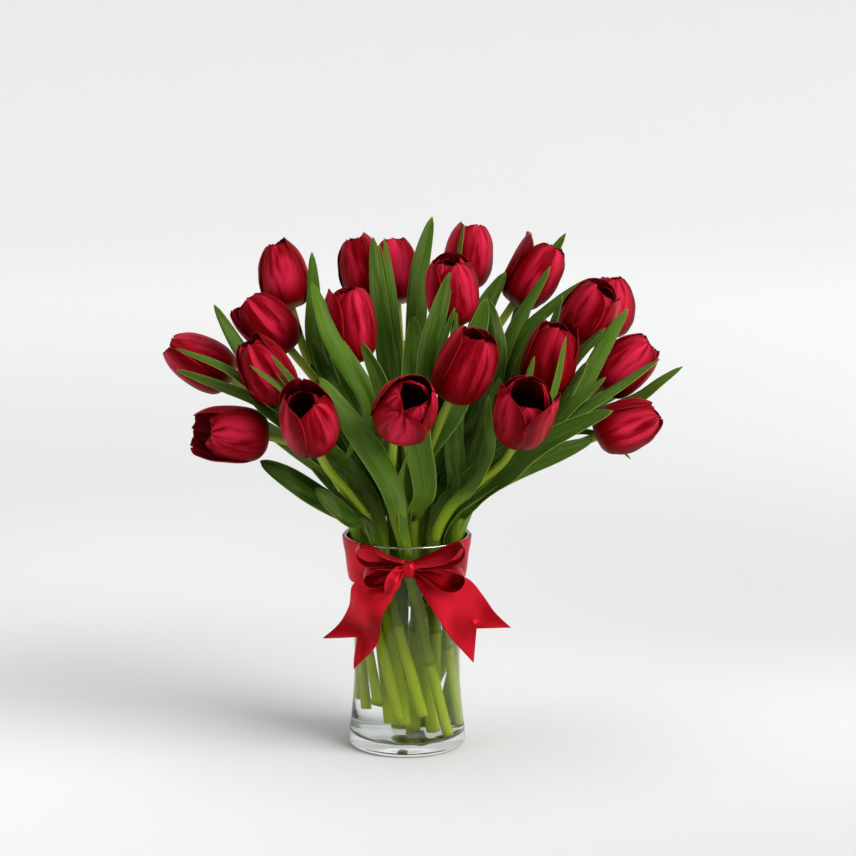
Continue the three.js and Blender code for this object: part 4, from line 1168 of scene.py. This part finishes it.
def bow_loop(front, back, seed):
    """A loop of the bow between its front and back edges, gathered in pleats at both ends. The inside of the
    loop is the side away from its normals."""
    share = np.linspace(0, 1, LOOP_ROWS)[:, None]
    u = np.linspace(0, 1, RIBBON_COLUMNS)[None]
    bulge = np.sin(np.linspace(0, PI, len(front)))
    near, far = LOOP_FRONT_Y
    fore = [(x, near + (far - near) * b, z) for (x, z), b in zip(front, bulge)]
    rear = [(x, LOOP_BACK_Y, z) for x, z in back]
    grid, normal = spread(fore, rear, share + 0 * u, u)
    fold = pleats(2 * np.minimum(share, 1 - share), u, *LOOP_PLEATS, seed)
    grid = grid + fold[..., None] * normal
    length = lengths(np.array(fore))[-1] / RIBBON_WIDTH
    if front[1][0] > front[0][0]:
        grid = grid[:, ::-1]
    return shell(grid, RIBBON_THICKNESS, u, share * length + seed)


def tail(left, right, notch, fold, seed):
    """A tail between its two edges, with pleats that fade from the knot, a soft fold and a notched end."""
    share = np.linspace(0, 1, TAIL_ROWS)[:, None]
    u = np.linspace(0, 1, RIBBON_COLUMNS)[None]
    reach = share * (1 - notch * (1 - np.abs(2 * u - 1)) * smoothstep(share, 0.55, 1.0))
    grid, normal = spread(left, right, reach, u)
    soft = fold * np.sin(share * 7 + u * 2 + seed) * np.sin(PI * u) * smoothstep(share, 0.1, 0.4)
    lift = pleats(share, u, *TAIL_PLEATS, seed) + soft
    grid = grid + lift[..., None] * normal
    length = lengths(np.array(left, float))[-1] / RIBBON_WIDTH
    return shell(grid[:, ::-1], RIBBON_THICKNESS, u, share * length + seed)


def knot():
    """The short wrap over the knot: a rounded block with slanting folds that run over it."""
    rise = np.linspace(-PI / 2, PI / 2, KNOT_ROWS)[1:-1, None]
    turn = (np.arange(KNOT_COLUMNS) / KNOT_COLUMNS * 2 * PI)[None]
    slant = turn * 5 + rise * 1.6
    fold = 1 + (0.11 * np.sin(slant) + 0.05 * np.sin(slant * 2 + 1.0)) * np.cos(rise)
    x = KNOT_HALF[0] * np.cos(rise) ** 0.6 * np.cos(turn) * fold
    y = KNOT_HALF[1] * np.cos(rise) ** 0.6 * np.sin(turn) * fold
    z = KNOT_HALF[2] * np.sin(rise) + 0 * turn
    grid = np.stack([x, y, z], axis=-1) + np.array(KNOT_AT)
    ends = np.array(KNOT_AT) + np.array([[0, 0, -KNOT_HALF[2]], [0, 0, KNOT_HALF[2]]])
    return closed_round(grid, *ends, (np.sin(rise[:, 0]) + 1) * 0.2)


def add_ribbon():
    """All of the ribbon, one strip of satin."""
    parts = [band(), knot()]
    parts += [bow_loop(**loop, seed=k * 1.9) for k, loop in enumerate(LOOPS)]
    parts += [tail(**end, seed=0.6 + k * 2.2) for k, end in enumerate(TAILS)]
    parts.append(tail(**STRAP, seed=5.0))
    ribbon = add_piece("satin_ribbon", parts, [SATIN], "ribbon", ["ribbon"])


# Stage, lights and camera


def add_stage():
    """A round floor that rises into a wall on all sides, past every camera: its profile is the floor, a
    quarter circle and the wall, turned about the middle."""
    rise = np.linspace(0, PI / 2, STAGE_BEND_ROWS)
    flat = STAGE_RADIUS - STAGE_BEND
    out = np.concatenate([STAGE_FLOOR_RINGS, flat + STAGE_BEND * np.sin(rise), [STAGE_RADIUS]])
    up = np.concatenate([[0.0, 0.0], STAGE_BEND * (1 - np.cos(rise)), [STAGE_HEIGHT]])
    turn = (np.arange(STAGE_COLUMNS) / STAGE_COLUMNS * -2 * PI)[None]
    x = out[:, None] * np.cos(turn)
    y = out[:, None] * np.sin(turn)
    points = np.stack([x, y, up[:, None] + 0 * turn], axis=-1).reshape(-1, 3)
    faces = grid_faces(len(out), STAGE_COLUMNS, closed=True).tolist()
    mesh = bpy.data.meshes.new("studio sweep")
    mesh.from_pydata(points.tolist(), [], faces + [list(range(STAGE_COLUMNS))[::-1]])
    mesh.polygons.foreach_set("use_smooth", np.ones(len(mesh.polygons), bool))
    mesh.materials.append(stage_material())
    sweep = bpy.data.objects.new("studio sweep", mesh)
    bpy.context.scene.collection.objects.link(sweep)


def aimed(thing, at, aim):
    """Puts an object at a place and turns its -Z axis to an aim."""
    thing.location = at
    thing.rotation_euler = (Vector(aim) - Vector(at)).to_track_quat("-Z", "Y").to_euler()
    bpy.context.scene.collection.objects.link(thing)


def add_lights():
    """The softboxes round the object."""
    for light in LIGHTS:
        lamp = bpy.data.lights.new(light["name"], "AREA")
        lamp.shape = "SQUARE"
        lamp.size = light["size"]
        lamp.energy = light["watts"]
        aimed(bpy.data.objects.new(light["name"], lamp), light["at"], light["aim"])


def add_air():
    """White light from all round, brighter from behind the object than from the camera's side."""
    world = bpy.data.worlds.new("studio air")
    world.use_nodes = True
    tree = world.node_tree
    way = tree.nodes.new("ShaderNodeTexCoord")
    parts = tree.nodes.new("ShaderNodeSeparateXYZ")
    level = tree.nodes.new("ShaderNodeMapRange")
    level.interpolation_type = "SMOOTHSTEP"
    limits = (*AIR_BORDER, AIR_IN_FRONT, AIR_BEHIND)
    for name, value in zip(("From Min", "From Max", "To Min", "To Max"), limits):
        level.inputs[name].default_value = value
    air = tree.nodes["Background"]
    air.inputs["Color"].default_value = (1.0, 1.0, 1.0, 1.0)
    tree.links.new(way.outputs["Generated"], parts.inputs[0])
    tree.links.new(parts.outputs["Y"], level.inputs["Value"])
    tree.links.new(level.outputs[0], air.inputs["Strength"])
    bpy.context.scene.world = world


def add_camera():
    """The camera at the photograph's angle, with colours shown as they are."""
    camera = bpy.data.cameras.new("photo view")
    camera.lens = CAMERA_LENS
    camera.sensor_width = CAMERA_SENSOR
    holder = bpy.data.objects.new("photo view", camera)
    aimed(holder, CAMERA_AT, CAMERA_AIM)
    bpy.context.scene.camera = holder
    bpy.context.scene.view_settings.view_transform = "Standard"


add_camera()
add_lights()
add_air()
add_stage()
for tulip in TULIPS:
    add_stem(tulip)
    add_bloom(tulip)
add_leaves()
add_vase()
add_water()
add_ribbon()
